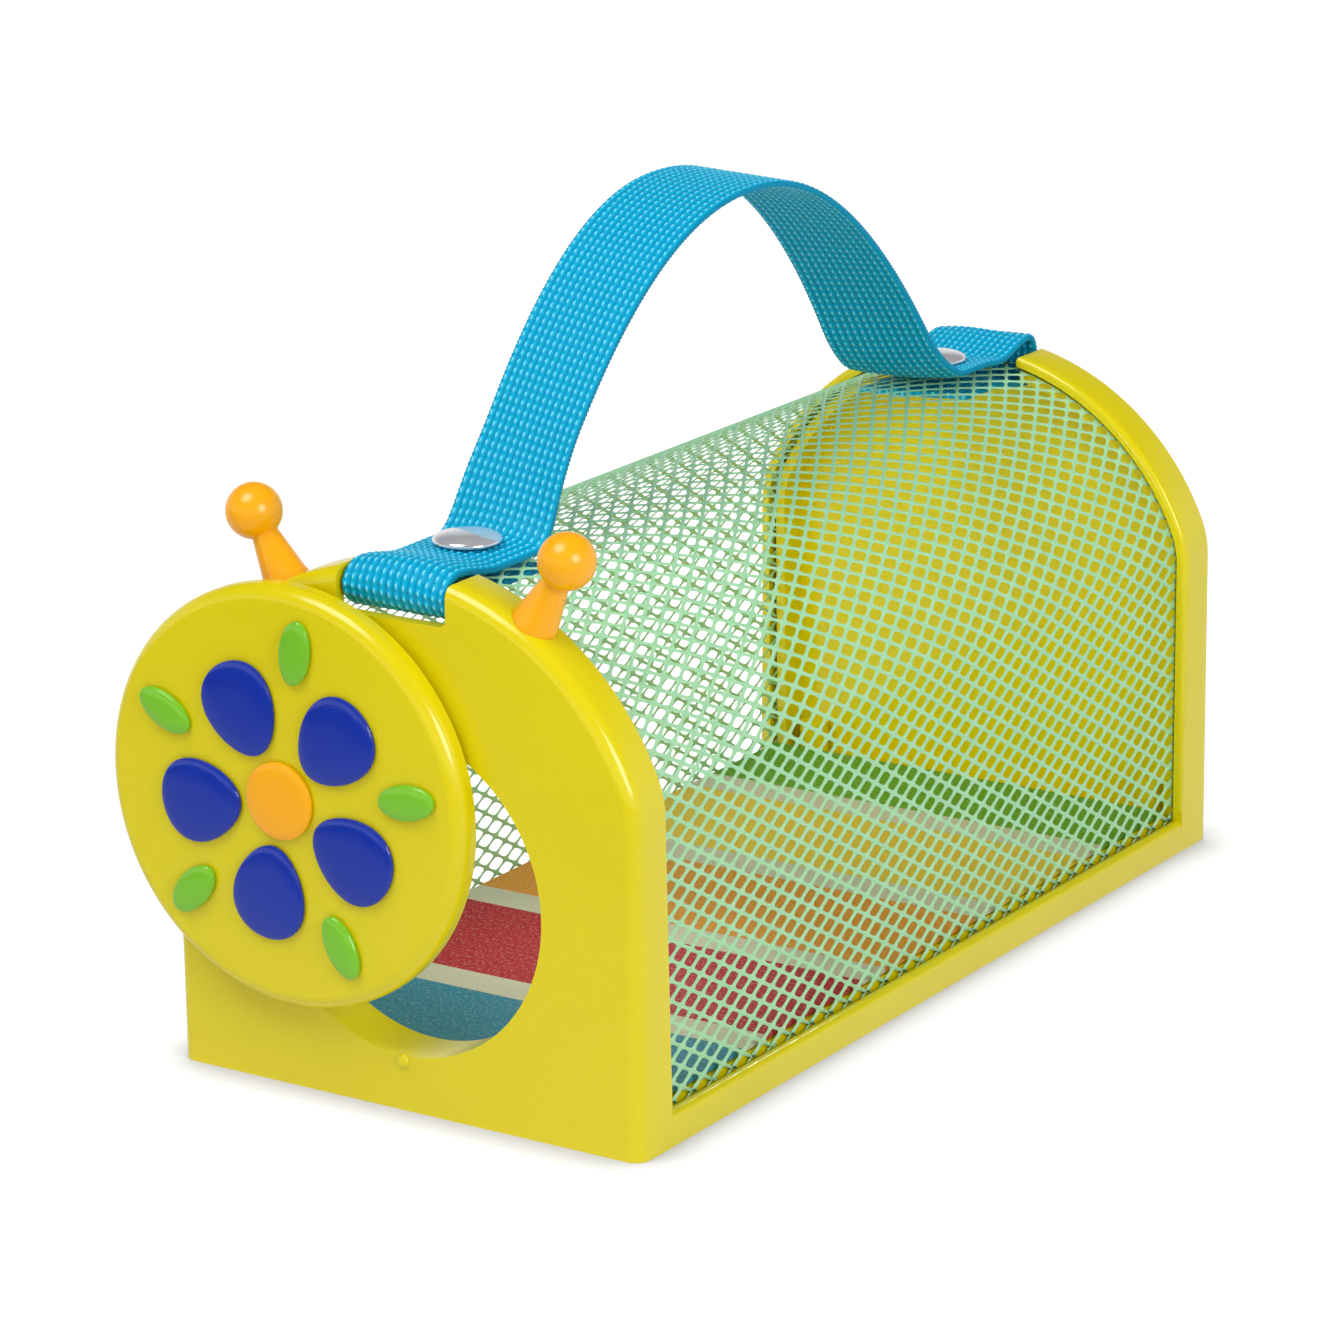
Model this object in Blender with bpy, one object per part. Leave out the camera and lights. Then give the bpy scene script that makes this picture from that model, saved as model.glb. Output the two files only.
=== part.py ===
"""Bug house: an arched mesh house for insects, with a round swinging door and a webbing handle.

Metres, +Z up. The origin is on the ground under the middle of the base, and the door faces -Y.
The door is shown swung open, as it was photographed.
"""
import math

import bmesh
import bpy
from mathutils import Matrix, Vector

# Whole body
BODY_WIDTH = 0.106
BODY_LENGTH = 0.220
SHOULDER_HEIGHT = 0.067
CROWN_HEIGHT = 0.105
ARCH_STEPS = 28

# Gaps: between pieces that touch, and round pieces that turn or drop in
SEAT_GAP = 0.0003
NOTCH_CLEARANCE = 0.00075
CUT_PAST = 0.01
MERGE_DISTANCE = 0.000002

# End panels
PANEL_DEPTH = 0.0106
PANEL_WALL = 0.0024
RIM_WALL = 0.0022
FRONT_EDGE_ROUND = 0.003
REAR_EDGE_ROUND = 0.0008
EDGE_STEPS = 4
LIP_WALL = 0.0016
LIP_SETBACK = 0.0015

# Doorway in the front panel
DOORWAY_RADIUS = 0.032
DOORWAY_HEIGHT = 0.043
COLLAR_WALL = 0.0017
DOORWAY_STEPS = 56
CATCH_RADIUS = 0.0014
CATCH_INSET = 0.0016

# Base tray and the sheet that lies on it
BASE_PLATE = 0.0024
BASE_WALL = 0.0022
BASE_RIB = 0.002
BASE_CELLS_ALONG = 4
RAIL_HEIGHT = 0.0065
DECK_HEIGHT = 0.0072
DECK_WALL = 0.0022
FLOOR_SHEET = 0.0010
SHEET_MARGIN = 0.0007

# Screws from below, into bosses in the corners of the end panels
BASE_SCREW_INSET = 0.0105
BASE_BOSS_RADIUS = 0.0032
BASE_BOSS_ROOF = 0.002
SCREW_HEAD_RADIUS = 0.0027
SCREW_HEAD_HEIGHT = 0.0010
SCREW_SHANK_RADIUS = 0.0012
SCREW_LENGTH = 0.009
SCREW_RECESS = 0.0002

# Mesh cover: diamond gaps, counted in half gaps along the house, up each side and over the arch. Over the
# arch the net is in strips that are each nearly flat, and these are their widths in half gaps
MESH_THICKNESS = 0.0010
MESH_STRAND = 0.0015
MESH_HALF_GAPS_ALONG = 18
MESH_HALF_GAPS_SIDE = 8
MESH_ARCH_STRIPS = (2, 3, 6, 3, 2)
COVER_INSERT = 0.006

# Webbing strap
STRAP_WIDTH = 0.023
STRAP_THICKNESS = 0.0014
STRAP_FOLD_SETBACK = 0.0007
STRAP_FOLD_DROP = 0.0021
STRAP_TAIL = 0.009
NOTCH_DROP = 0.0006
HANDLE_RISE = 0.0541
HANDLE_POWER = 2.13
HANDLE_BLEND = 0.005
HANDLE_PEAK_SHIFT = -0.0029
HANDLE_LIFT_FRONT = 0.0024
HANDLE_LIFT_REAR = 0.0101
HANDLE_STEPS = 22
FOLD_STEPS = 8

# Rivets through strap, mesh and strap tail
RIVET_INSET = 0.0245
RIVET_RADIUS = 0.0066
RIVET_DOME = 0.0020
RIVET_POST_RADIUS = 0.0016
RIVET_BACK_RADIUS = 0.0050
RIVET_BACK_THICKNESS = 0.0009

# Antennae on the front rim
ANTENNA_ANGLE = math.radians(30)
ANTENNA_DEPTH = 0.0059
ANTENNA_REACH = 0.0143
ANTENNA_BALL_RADIUS = 0.0054
ANTENNA_BASE_RADIUS = 0.0045
ANTENNA_NECK_RADIUS = 0.0026
ANTENNA_SPIGOT_RADIUS = 0.0022

# Door
DOOR_RADIUS = 0.0409
DOOR_DEPTH = 0.005
DOOR_FACE = 0.0022
DOOR_RIM_WALL = 0.002
DOOR_EDGE_ROUND = 0.003
DOOR_STANDOFF = 0.0011
DOOR_ABOVE_DOORWAY = 0.0068
DOOR_OPEN_ANGLE = math.radians(45.3)
PIVOT_POST_RADIUS = 0.0022
PIVOT_SPACER_RADIUS = 0.0045
PIVOT_BOSS_RADIUS = 0.0052
PIVOT_BOSS_HEIGHT = 0.0026
WASHER_RADIUS = 0.0036
WASHER_THICKNESS = 0.0008
PIVOT_SCREW_HEAD_HEIGHT = 0.0018
PIVOT_SCREW_GRIP = 0.006

# Raised flower on the door
FLOWER_PETALS = 5
FLOWER_CENTRE_RADIUS = 0.0075
FLOWER_DOME = 0.0014
PETAL_RING_RADIUS = 0.0185
PETAL_LENGTH = 0.0185
PETAL_WIDTH = 0.016
LEAF_RING_RADIUS = 0.0295
LEAF_LENGTH = 0.0125
LEAF_WIDTH = 0.0068

# Sizes that follow from those above
HALF_WIDTH = BODY_WIDTH / 2
FRONT = -BODY_LENGTH / 2
ARCH_RISE = CROWN_HEIGHT - SHOULDER_HEIGHT
ARCH_RADIUS = (HALF_WIDTH ** 2 + ARCH_RISE ** 2) / (2 * ARCH_RISE)
ARCH_CENTRE = CROWN_HEIGHT - ARCH_RADIUS
COVER_OUTSIDE = RIM_WALL + SEAT_GAP
COVER_INSIDE = COVER_OUTSIDE + MESH_THICKNESS
LIP_OUTSIDE = COVER_INSIDE + SEAT_GAP
LIP_INSIDE = LIP_OUTSIDE + LIP_WALL
PLATE_TOP = BASE_PLATE + SEAT_GAP
DECK_HALF = HALF_WIDTH - LIP_OUTSIDE
DECK_END = BODY_LENGTH / 2 - PANEL_DEPTH - SEAT_GAP
COVER_EDGE = PANEL_DEPTH - COVER_INSERT
STRAP_HALF = STRAP_WIDTH / 2
STRAP_MIDDLE = CROWN_HEIGHT - COVER_OUTSIDE + SEAT_GAP + STRAP_THICKNESS / 2
COVER_UNDER_STRAP = ARCH_CENTRE + math.sqrt((ARCH_RADIUS - COVER_INSIDE) ** 2 - STRAP_HALF ** 2)
TAIL_MIDDLE = COVER_UNDER_STRAP - 2 * SEAT_GAP - STRAP_THICKNESS / 2
FOLD_BOTTOM = TAIL_MIDDLE - STRAP_FOLD_DROP
NOTCH_FLOOR = FOLD_BOTTOM - STRAP_THICKNESS / 2 - NOTCH_DROP
PIVOT_HOLE_RADIUS = PIVOT_POST_RADIUS + SEAT_GAP
PIVOT_HEIGHT = DOORWAY_HEIGHT + DOORWAY_RADIUS + COLLAR_WALL + SEAT_GAP + WASHER_RADIUS
DOOR_DROP = PIVOT_HEIGHT - DOORWAY_HEIGHT - DOOR_ABOVE_DOORWAY
DOOR_FRONT = DOOR_STANDOFF + DOOR_DEPTH
PIVOT_POST_END = PANEL_WALL + PIVOT_BOSS_HEIGHT + SEAT_GAP
BASE_SCREW_X = HALF_WIDTH - BASE_SCREW_INSET
BASE_SCREW_DEPTH = PANEL_WALL + 0.9 * BASE_BOSS_RADIUS
SCREW_HEAD_SEAT = SCREW_RECESS + SCREW_HEAD_HEIGHT + SEAT_GAP

# Turns a shape that was made along +Z so that it points out of the front, along -Y
FACING_FRONT = Matrix.Rotation(math.radians(90), 4, "X")


def linear_colour(hex_code):
    """Linear colour of an sRGB hex code."""
    channels = [int(hex_code[i:i + 2], 16) / 255 for i in (0, 2, 4)]
    linear = [c / 12.92 if c <= 0.04045 else ((c + 0.055) / 1.055) ** 2.4 for c in channels]
    return (*linear, 1.0)


def finish(name, hex_code, roughness, metallic=0.0):
    """Principled material."""
    material = bpy.data.materials.new(name)
    material.use_nodes = True
    shader = material.node_tree.nodes["Principled BSDF"]
    shader.inputs["Base Color"].default_value = linear_colour(hex_code)
    shader.inputs["Roughness"].default_value = roughness
    shader.inputs["Metallic"].default_value = metallic
    return material


def solid(name, shape, material, parent=None):
    """Object made from a closed bmesh, shaded smooth between its sharp edges."""
    bmesh.ops.recalc_face_normals(shape, faces=shape.faces)
    if shape.calc_volume(signed=True) < 0:
        bmesh.ops.reverse_faces(shape, faces=shape.faces)
    mesh = bpy.data.meshes.new(name)
    shape.to_mesh(mesh)
    shape.free()
    mesh.materials.append(material)
    thing = bpy.data.objects.new(name, mesh)
    bpy.context.scene.collection.objects.link(thing)
    thing.parent = parent
    return thing


def combine(target, shape, operation):
    """Join a closed bmesh to an object, or cut it away."""
    tool = solid("tool", shape, target.data.materials[0], target.parent)
    modifier = target.modifiers.new(operation.lower(), "BOOLEAN")
    modifier.operation = operation
    modifier.solver = "EXACT"
    modifier.object = tool
    evaluated = target.evaluated_get(bpy.context.evaluated_depsgraph_get())
    result = bmesh.new()
    result.from_mesh(evaluated.to_mesh())
    bmesh.ops.remove_doubles(result, verts=result.verts, dist=MERGE_DISTANCE)
    bmesh.ops.dissolve_degenerate(result, edges=result.edges, dist=MERGE_DISTANCE)
    target.modifiers.clear()
    result.to_mesh(target.data)
    result.free()
    bpy.data.objects.remove(tool)


def shade(thing):
    """Round stretches look smooth and corners stay crisp."""
    thing.data.shade_smooth()
    thing.data.set_sharp_from_angle(angle=math.radians(35))


def lofted(sections):
    """Closed bmesh through loops of equally many points, with its two ends capped."""
    shape = bmesh.new()
    loops = [[shape.verts.new(point) for point in section] for section in sections]
    for near, far in zip(loops, loops[1:]):
        for i in range(len(near)):
            j = (i + 1) % len(near)
            shape.faces.new((near[i], near[j], far[j], far[i]))
    shape.faces.new(loops[0])
    shape.faces.new(loops[-1])
    return shape


def turned(profile, steps):
    """Closed bmesh of a profile of (radius, height) points turned about Z. It starts and ends on the axis."""
    shape = bmesh.new()
    points = [shape.verts.new((radius, 0, height)) for radius, height in profile]
    edges = [shape.edges.new(pair) for pair in zip(points, points[1:])]
    bmesh.ops.spin(shape, geom=points + edges, cent=(0, 0, 0), axis=(0, 0, 1),
                   angle=2 * math.pi, steps=steps, use_merge=True)
    bmesh.ops.remove_doubles(shape, verts=shape.verts, dist=0.00001)
    return shape


def rod(radius, low, high, steps):
    """Closed cylinder along Z."""
    return turned([(0, low), (radius, low), (radius, high), (0, high)], steps)


def box(low, high):
    """Closed box between two corners."""
    shape = bmesh.new()
    bmesh.ops.create_cube(shape, size=1)
    middle = (Vector(low) + Vector(high)) / 2
    size = Vector(high) - Vector(low)
    bmesh.ops.transform(shape, matrix=Matrix.Translation(middle) @ Matrix.Diagonal((*size, 1)), verts=shape.verts)
    return shape


def moved(shape, matrix):
    """The same bmesh, placed by a matrix."""
    bmesh.ops.transform(shape, matrix=matrix, verts=shape.verts)
    return shape


def house_outline(inset, floor=0.0):
    """House outline as (x, z) points, inset from the outer walls: up the left side, over the crown and down."""
    half = HALF_WIDTH - inset
    radius = ARCH_RADIUS - inset
    shoulder = math.asin(half / radius)
    arch = []
    for step in range(ARCH_STEPS + 1):
        angle = shoulder * (2 * step / ARCH_STEPS - 1)
        arch.append((radius * math.sin(angle), ARCH_CENTRE + radius * math.cos(angle)))
    return [(-half, floor), *arch, (half, floor)]


def outline_at(y, inset, floor=0.0):
    """House outline as points in space."""
    return [(x, y, z) for x, z in house_outline(inset, floor)]


def end_panel(name, side, material):
    """Moulded end with a rounded outer edge, a rim, a lip that traps the mesh and two screw bosses.

    side is -1 at the front and 1 at the rear.
    """
    def at(depth):
        return side * (BODY_LENGTH / 2 - depth)

    edge_round = FRONT_EDGE_ROUND if side < 0 else REAR_EDGE_ROUND
    sections = []
    for step in range(EDGE_STEPS + 1):
        turn = math.pi / 2 * step / EDGE_STEPS
        inset = edge_round * (1 - math.sin(turn))
        depth = edge_round * (1 - math.cos(turn))
        sections.append(outline_at(at(depth), inset))
    sections.append(outline_at(at(PANEL_DEPTH), 0))
    panel = solid(name, lofted(sections), material)

    # Hollow behind the wall, open at the back and underneath
    inner = [outline_at(at(depth), RIM_WALL, -CUT_PAST) for depth in (PANEL_WALL, PANEL_DEPTH + CUT_PAST)]
    combine(panel, lofted(inner), "DIFFERENCE")

    # Lip that runs inside the mesh, so that the mesh edge sits in a channel
    lip_ends = (at(PANEL_WALL / 2), at(PANEL_DEPTH - LIP_SETBACK))
    outer = house_outline(LIP_OUTSIDE, PLATE_TOP)
    inner = house_outline(LIP_INSIDE, PLATE_TOP)
    lip = []
    for (xo, zo), (xi, zi) in zip(outer, inner):
        lip.append([(xo, lip_ends[0], zo), (xo, lip_ends[1], zo), (xi, lip_ends[1], zi), (xi, lip_ends[0], zi)])
    combine(panel, lofted(lip), "UNION")

    # Notch that the strap passes through
    notch_half = STRAP_HALF + NOTCH_CLEARANCE
    notch_ends = sorted((at(-CUT_PAST), at(PANEL_DEPTH + CUT_PAST)))
    notch = box((-notch_half, notch_ends[0], NOTCH_FLOOR), (notch_half, notch_ends[1], CROWN_HEIGHT + CUT_PAST))
    combine(panel, notch, "DIFFERENCE")

    # Screw bosses in the two lower corners
    pilot_top = SCREW_HEAD_SEAT + SCREW_LENGTH + SEAT_GAP
    for x in (-BASE_SCREW_X, BASE_SCREW_X):
        place = Matrix.Translation((x, at(BASE_SCREW_DEPTH), 0))
        boss = rod(BASE_BOSS_RADIUS, PLATE_TOP, pilot_top + BASE_BOSS_ROOF, 16)
        combine(panel, moved(boss, place), "UNION")
        pilot = rod(SCREW_SHANK_RADIUS + SEAT_GAP, -CUT_PAST, pilot_top, 12)
        combine(panel, moved(pilot, place), "DIFFERENCE")
    return panel


def antenna_place(side):
    """Seat of an antenna on the front rim, with +Z along the antenna. side is -1 at the left and 1 at the right."""
    x = side * ARCH_RADIUS * math.sin(ANTENNA_ANGLE)
    z = ARCH_CENTRE + ARCH_RADIUS * math.cos(ANTENNA_ANGLE)
    lean = Matrix.Rotation(side * ANTENNA_ANGLE, 4, "Y")
    return Matrix.Translation((x, FRONT + ANTENNA_DEPTH, z)) @ lean


def front_panel(material):
    """Front end: the plain end with its doorway, pivot boss, antenna holes and catch."""
    panel = end_panel("front_panel", -1, material)
    doorway = Matrix.Translation((0, FRONT, DOORWAY_HEIGHT)) @ FACING_FRONT
    collar = rod(DOORWAY_RADIUS + COLLAR_WALL, -PANEL_DEPTH, -PANEL_WALL / 2, DOORWAY_STEPS)
    combine(panel, moved(collar, doorway), "UNION")
    pivot = Matrix.Translation((0, FRONT, PIVOT_HEIGHT)) @ FACING_FRONT
    boss = rod(PIVOT_BOSS_RADIUS, -PANEL_WALL - PIVOT_BOSS_HEIGHT, -PANEL_WALL / 2, 24)
    combine(panel, moved(boss, pivot), "UNION")
    hole = rod(DOORWAY_RADIUS, -PANEL_DEPTH - CUT_PAST, CUT_PAST, DOORWAY_STEPS)
    combine(panel, moved(hole, doorway), "DIFFERENCE")
    pivot_hole = rod(PIVOT_HOLE_RADIUS, -PANEL_DEPTH - CUT_PAST, CUT_PAST, 20)
    combine(panel, moved(pivot_hole, pivot), "DIFFERENCE")
    for side in (-1, 1):
        socket = rod(ANTENNA_SPIGOT_RADIUS + SEAT_GAP, -RIM_WALL - MESH_THICKNESS / 2, CUT_PAST, 16)
        combine(panel, moved(socket, antenna_place(side)), "DIFFERENCE")

    # Bump at the foot of the doorway that the closed door snaps over
    bump_height = DOOR_STANDOFF - SEAT_GAP
    bump = turned([(0, -PANEL_WALL / 2), (CATCH_RADIUS, -PANEL_WALL / 2), (CATCH_RADIUS, 0.3 * bump_height),
                   (0.7 * CATCH_RADIUS, 0.8 * bump_height), (0, bump_height)], 12)
    foot = DOORWAY_HEIGHT - DOORWAY_RADIUS - CATCH_INSET
    combine(panel, moved(bump, Matrix.Translation((0, FRONT, foot)) @ FACING_FRONT), "UNION")
    return panel


def base_tray(material):
    """Base with a rail along each side of a raised deck, ribbed underneath, and a tongue into each end."""
    right = [(HALF_WIDTH, 0), (HALF_WIDTH, RAIL_HEIGHT), (HALF_WIDTH - RIM_WALL, RAIL_HEIGHT),
             (HALF_WIDTH - RIM_WALL, BASE_PLATE), (DECK_HALF, BASE_PLATE), (DECK_HALF, DECK_HEIGHT)]
    profile = right + [(-x, z) for x, z in reversed(right)]
    sections = [[(x, y, z) for x, z in profile] for y in (-DECK_END, DECK_END)]
    tray = solid("base_tray", lofted(sections), material)

    # Pockets under the deck, between a rib down the middle and ribs across
    pocket_top = DECK_HEIGHT - DECK_WALL
    pocket_out = DECK_HALF - BASE_WALL
    cell = 2 * (DECK_END - BASE_WALL) / BASE_CELLS_ALONG
    for number in range(BASE_CELLS_ALONG):
        low = BASE_WALL - DECK_END + cell * number + BASE_RIB / 2
        high = low + cell - BASE_RIB
        for left, right in ((-pocket_out, -BASE_RIB / 2), (BASE_RIB / 2, pocket_out)):
            combine(tray, box((left, low, -CUT_PAST), (right, high, pocket_top)), "DIFFERENCE")

    tongue_half = HALF_WIDTH - RIM_WALL - SEAT_GAP
    tongue_end = BODY_LENGTH / 2 - PANEL_WALL - SEAT_GAP
    for low, high in ((-tongue_end, BASE_WALL / 2 - DECK_END), (DECK_END - BASE_WALL / 2, tongue_end)):
        combine(tray, box((-tongue_half, low, 0), (tongue_half, high, BASE_PLATE)), "UNION")
    for place in screw_places().values():
        combine(tray, moved(rod(SCREW_HEAD_RADIUS + SEAT_GAP, -CUT_PAST, SCREW_HEAD_SEAT, 20), place), "DIFFERENCE")
        combine(tray, moved(rod(SCREW_SHANK_RADIUS + SEAT_GAP, -CUT_PAST, CUT_PAST, 12), place), "DIFFERENCE")
    return tray


def screw_places():
    """Where the four base screws go up into the ends."""
    places = {}
    y = BODY_LENGTH / 2 - BASE_SCREW_DEPTH
    for end, side in (("front", -1), ("rear", 1)):
        places[end + "_left"] = Matrix.Translation((-BASE_SCREW_X, side * y, 0))
        places[end + "_right"] = Matrix.Translation((BASE_SCREW_X, side * y, 0))
    return places


def base_screw(name, place, material):
    """Flat-headed screw, pointing up, with its head sunk in the base."""
    head_top = SCREW_RECESS + SCREW_HEAD_HEIGHT
    tip = head_top + SCREW_LENGTH
    profile = [(0, SCREW_RECESS), (SCREW_HEAD_RADIUS, SCREW_RECESS), (SCREW_HEAD_RADIUS, head_top),
               (SCREW_SHANK_RADIUS, head_top), (SCREW_SHANK_RADIUS, tip - SCREW_SHANK_RADIUS), (0, tip)]
    return solid(name, moved(turned(profile, 12), place), material)


def floor_sheet(material):
    """Printed sheet on the deck."""
    half = DECK_HALF - SHEET_MARGIN
    end = DECK_END - SHEET_MARGIN
    low = DECK_HEIGHT + SEAT_GAP
    return solid("floor_sheet", box((-half, -end, low), (half, end, low + FLOOR_SHEET)), material)


def cover_shoulder(inset):
    """Height of the cover's shoulder, and half the angle that its arch takes."""
    radius = ARCH_RADIUS - inset
    angle = math.asin((HALF_WIDTH - inset) / radius)
    return ARCH_CENTRE + radius * math.cos(angle), angle


def cover_lengths():
    """Length of one side and of the arch, along the outer face of the cover."""
    height, angle = cover_shoulder(COVER_OUTSIDE)
    return height - PLATE_TOP, 2 * angle * (ARCH_RADIUS - COVER_OUTSIDE)


def cover_point(along, y, inset):
    """Point of the cover at a length along its outer face, from its lower left edge to its lower right one."""
    side, arch = cover_lengths()
    height, angle = cover_shoulder(inset)
    half = HALF_WIDTH - inset
    if along < side:
        return (-half, y, PLATE_TOP + (height - PLATE_TOP) * along / side)
    if along > side + arch:
        return (half, y, PLATE_TOP + (height - PLATE_TOP) * (2 * side + arch - along) / side)
    turn = angle * (2 * (along - side) / arch - 1)
    radius = ARCH_RADIUS - inset
    return (radius * math.sin(turn), y, ARCH_CENTRE + radius * math.cos(turn))


def mesh_cover(material):
    """Diamond mesh over the house, in strips: up the left side, over the arch and down the right side."""
    side, arch = cover_lengths()
    side_step = side / MESH_HALF_GAPS_SIDE
    arch_step = arch / sum(MESH_ARCH_STRIPS)
    rows = [side_step * j for j in range(MESH_HALF_GAPS_SIDE)]
    rows += [side + arch_step * j for j in range(sum(MESH_ARCH_STRIPS))]
    rows += [side + arch + side_step * j for j in range(MESH_HALF_GAPS_SIDE + 1)]
    first = 0
    widths = (MESH_HALF_GAPS_SIDE, *MESH_ARCH_STRIPS, MESH_HALF_GAPS_SIDE)
    for number, width in enumerate(widths):
        name = f"mesh_arch_{number}"
        if number == 0:
            name = "mesh_left"
        if number == len(MESH_ARCH_STRIPS) + 1:
            name = "mesh_right"
        strip = mesh_strip(name, rows, first, first + width, material)
        first += width

        # The middle strip is clear of the rivets, which are punched through it
        if 2 * number == len(MESH_ARCH_STRIPS) + 1:
            for y in (FRONT + RIVET_INSET, -FRONT - RIVET_INSET):
                hole = rod(RIVET_POST_RADIUS + SEAT_GAP, TAIL_MIDDLE, STRAP_MIDDLE, 12)
                combine(strip, moved(hole, Matrix.Translation((0, y, 0))), "DIFFERENCE")


def mesh_strip(name, rows, first, last, material):
    """Strip of the mesh between two of its rows, laid out flat as a net of strands and then bent to the house."""
    edge = BODY_LENGTH / 2 - COVER_EDGE
    columns = [edge * (2 * i / MESH_HALF_GAPS_ALONG - 1) for i in range(MESH_HALF_GAPS_ALONG + 1)]
    heights = {j: rows[j] for j in range(first, last + 1)}
    seams = []
    if first > 0:
        heights[first] += SEAT_GAP / 2
        seams.append(heights[first])
    if last < len(rows) - 1:
        heights[last] -= SEAT_GAP / 2
        seams.append(heights[last])
    net = bmesh.new()
    corners = {}

    def corner(i, j):
        if (i, j) not in corners:
            corners[i, j] = net.verts.new((columns[i], heights[j], 0))
        return corners[i, j]

    # A gap that the strip's edge cuts through has its middle as a corner
    for i in range(len(columns)):
        for j in range(first + (first + i) % 2, last + 1, 2):
            spots = [(i - 1, j), (i, j - 1), (i + 1, j), (i, j + 1)]
            kept = [(a, b) if 0 <= a < len(columns) and b in heights else (i, j) for a, b in spots]
            net.faces.new([corner(*spot) for spot in dict.fromkeys(kept)])
    net.normal_update()
    gaps = net.faces[:]
    bmesh.ops.inset_individual(net, faces=gaps, thickness=MESH_STRAND / 2, use_even_offset=True)

    # No strand runs along a seam, so that the net goes on from strip to strip
    for height in seams:
        for strand in net.faces:
            if sum(abs(vert.co.y - height) < MERGE_DISTANCE for vert in strand.verts) > 1:
                gaps.append(strand)
    bmesh.ops.delete(net, geom=list(set(gaps)), context="FACES")

    # The net gets its thickness: each strand has an outer face and an inner one
    outer = net.verts[:]
    grown = bmesh.ops.extrude_face_region(net, geom=net.faces[:] + net.edges[:], use_keep_orig=True)
    inner = [part for part in grown["geom"] if isinstance(part, bmesh.types.BMVert)]
    for strand, inset in ((outer, COVER_OUTSIDE), (inner, COVER_INSIDE)):
        for vert in strand:
            vert.co = cover_point(vert.co.y, vert.co.x, inset)
    return solid(name, net, material)


def handle_height(y):
    """How far the handle stands above the flat runs of the strap, at a place along the house."""
    lift = RIVET_INSET + RIVET_RADIUS
    front_foot = FRONT + lift + HANDLE_LIFT_FRONT
    rear_foot = -FRONT - lift - HANDLE_LIFT_REAR
    foot = front_foot if y < HANDLE_PEAK_SHIFT else rear_foot
    rise = HANDLE_RISE * (1 - abs((y - HANDLE_PEAK_SHIFT) / (foot - HANDLE_PEAK_SHIFT)) ** HANDLE_POWER)
    if rise <= -HANDLE_BLEND:
        return 0.0
    if rise >= HANDLE_BLEND:
        return rise
    return (rise + HANDLE_BLEND) ** 2 / (4 * HANDLE_BLEND)


def strap_end():
    """Middle line of one strap end as (distance from the house's end, height), from the tail to the top run."""
    fold_radius = (STRAP_MIDDLE - FOLD_BOTTOM) / 2
    fold_place = STRAP_FOLD_SETBACK + STRAP_THICKNESS / 2 + fold_radius
    tail_start = RIVET_INSET - RIVET_BACK_RADIUS
    line = [(RIVET_INSET + STRAP_TAIL, TAIL_MIDDLE), (tail_start, TAIL_MIDDLE)]
    for share in (0.35, 0.65):
        blend = share * share * (3 - 2 * share)
        line.append((tail_start + share * (fold_place - tail_start), TAIL_MIDDLE - blend * STRAP_FOLD_DROP))
    for step in range(FOLD_STEPS + 1):
        turn = math.pi * step / FOLD_STEPS
        height = STRAP_MIDDLE - fold_radius * (1 + math.cos(turn))
        line.append((fold_place - fold_radius * math.sin(turn), height))
    return line


def strap_line():
    """Middle line of the whole strap as (y, z) points."""
    front = [(FRONT + distance, z) for distance, z in strap_end()]
    rear = [(-FRONT - distance, z) for distance, z in reversed(strap_end())]
    start = FRONT + RIVET_INSET
    lift = start + RIVET_RADIUS
    handle = [(start, STRAP_MIDDLE)]
    for step in range(2 * HANDLE_STEPS + 1):
        y = lift * (1 - step / HANDLE_STEPS)
        handle.append((y, STRAP_MIDDLE + handle_height(y)))
    handle.append((-start, STRAP_MIDDLE))
    return front + handle + rear


def carry_strap(material):
    """Webbing strap: a flat band along its middle line, with a hole for each rivet."""
    line = [Vector(point) for point in strap_line()]
    sections = []
    for i, point in enumerate(line):
        along = (line[min(i + 1, len(line) - 1)] - line[max(i - 1, 0)]).normalized()
        away = Vector((-along.y, along.x)) * STRAP_THICKNESS / 2
        top = point + away
        under = point - away
        sections.append([(-STRAP_HALF, *top), (STRAP_HALF, *top), (STRAP_HALF, *under), (-STRAP_HALF, *under)])
    strap = solid("carry_strap", lofted(sections), material)
    for y in (FRONT + RIVET_INSET, -FRONT - RIVET_INSET):
        hole = rod(RIVET_POST_RADIUS + SEAT_GAP, TAIL_MIDDLE - CUT_PAST, STRAP_MIDDLE + CUT_PAST, 12)
        combine(strap, moved(hole, Matrix.Translation((0, y, 0))), "DIFFERENCE")
    return strap


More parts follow.
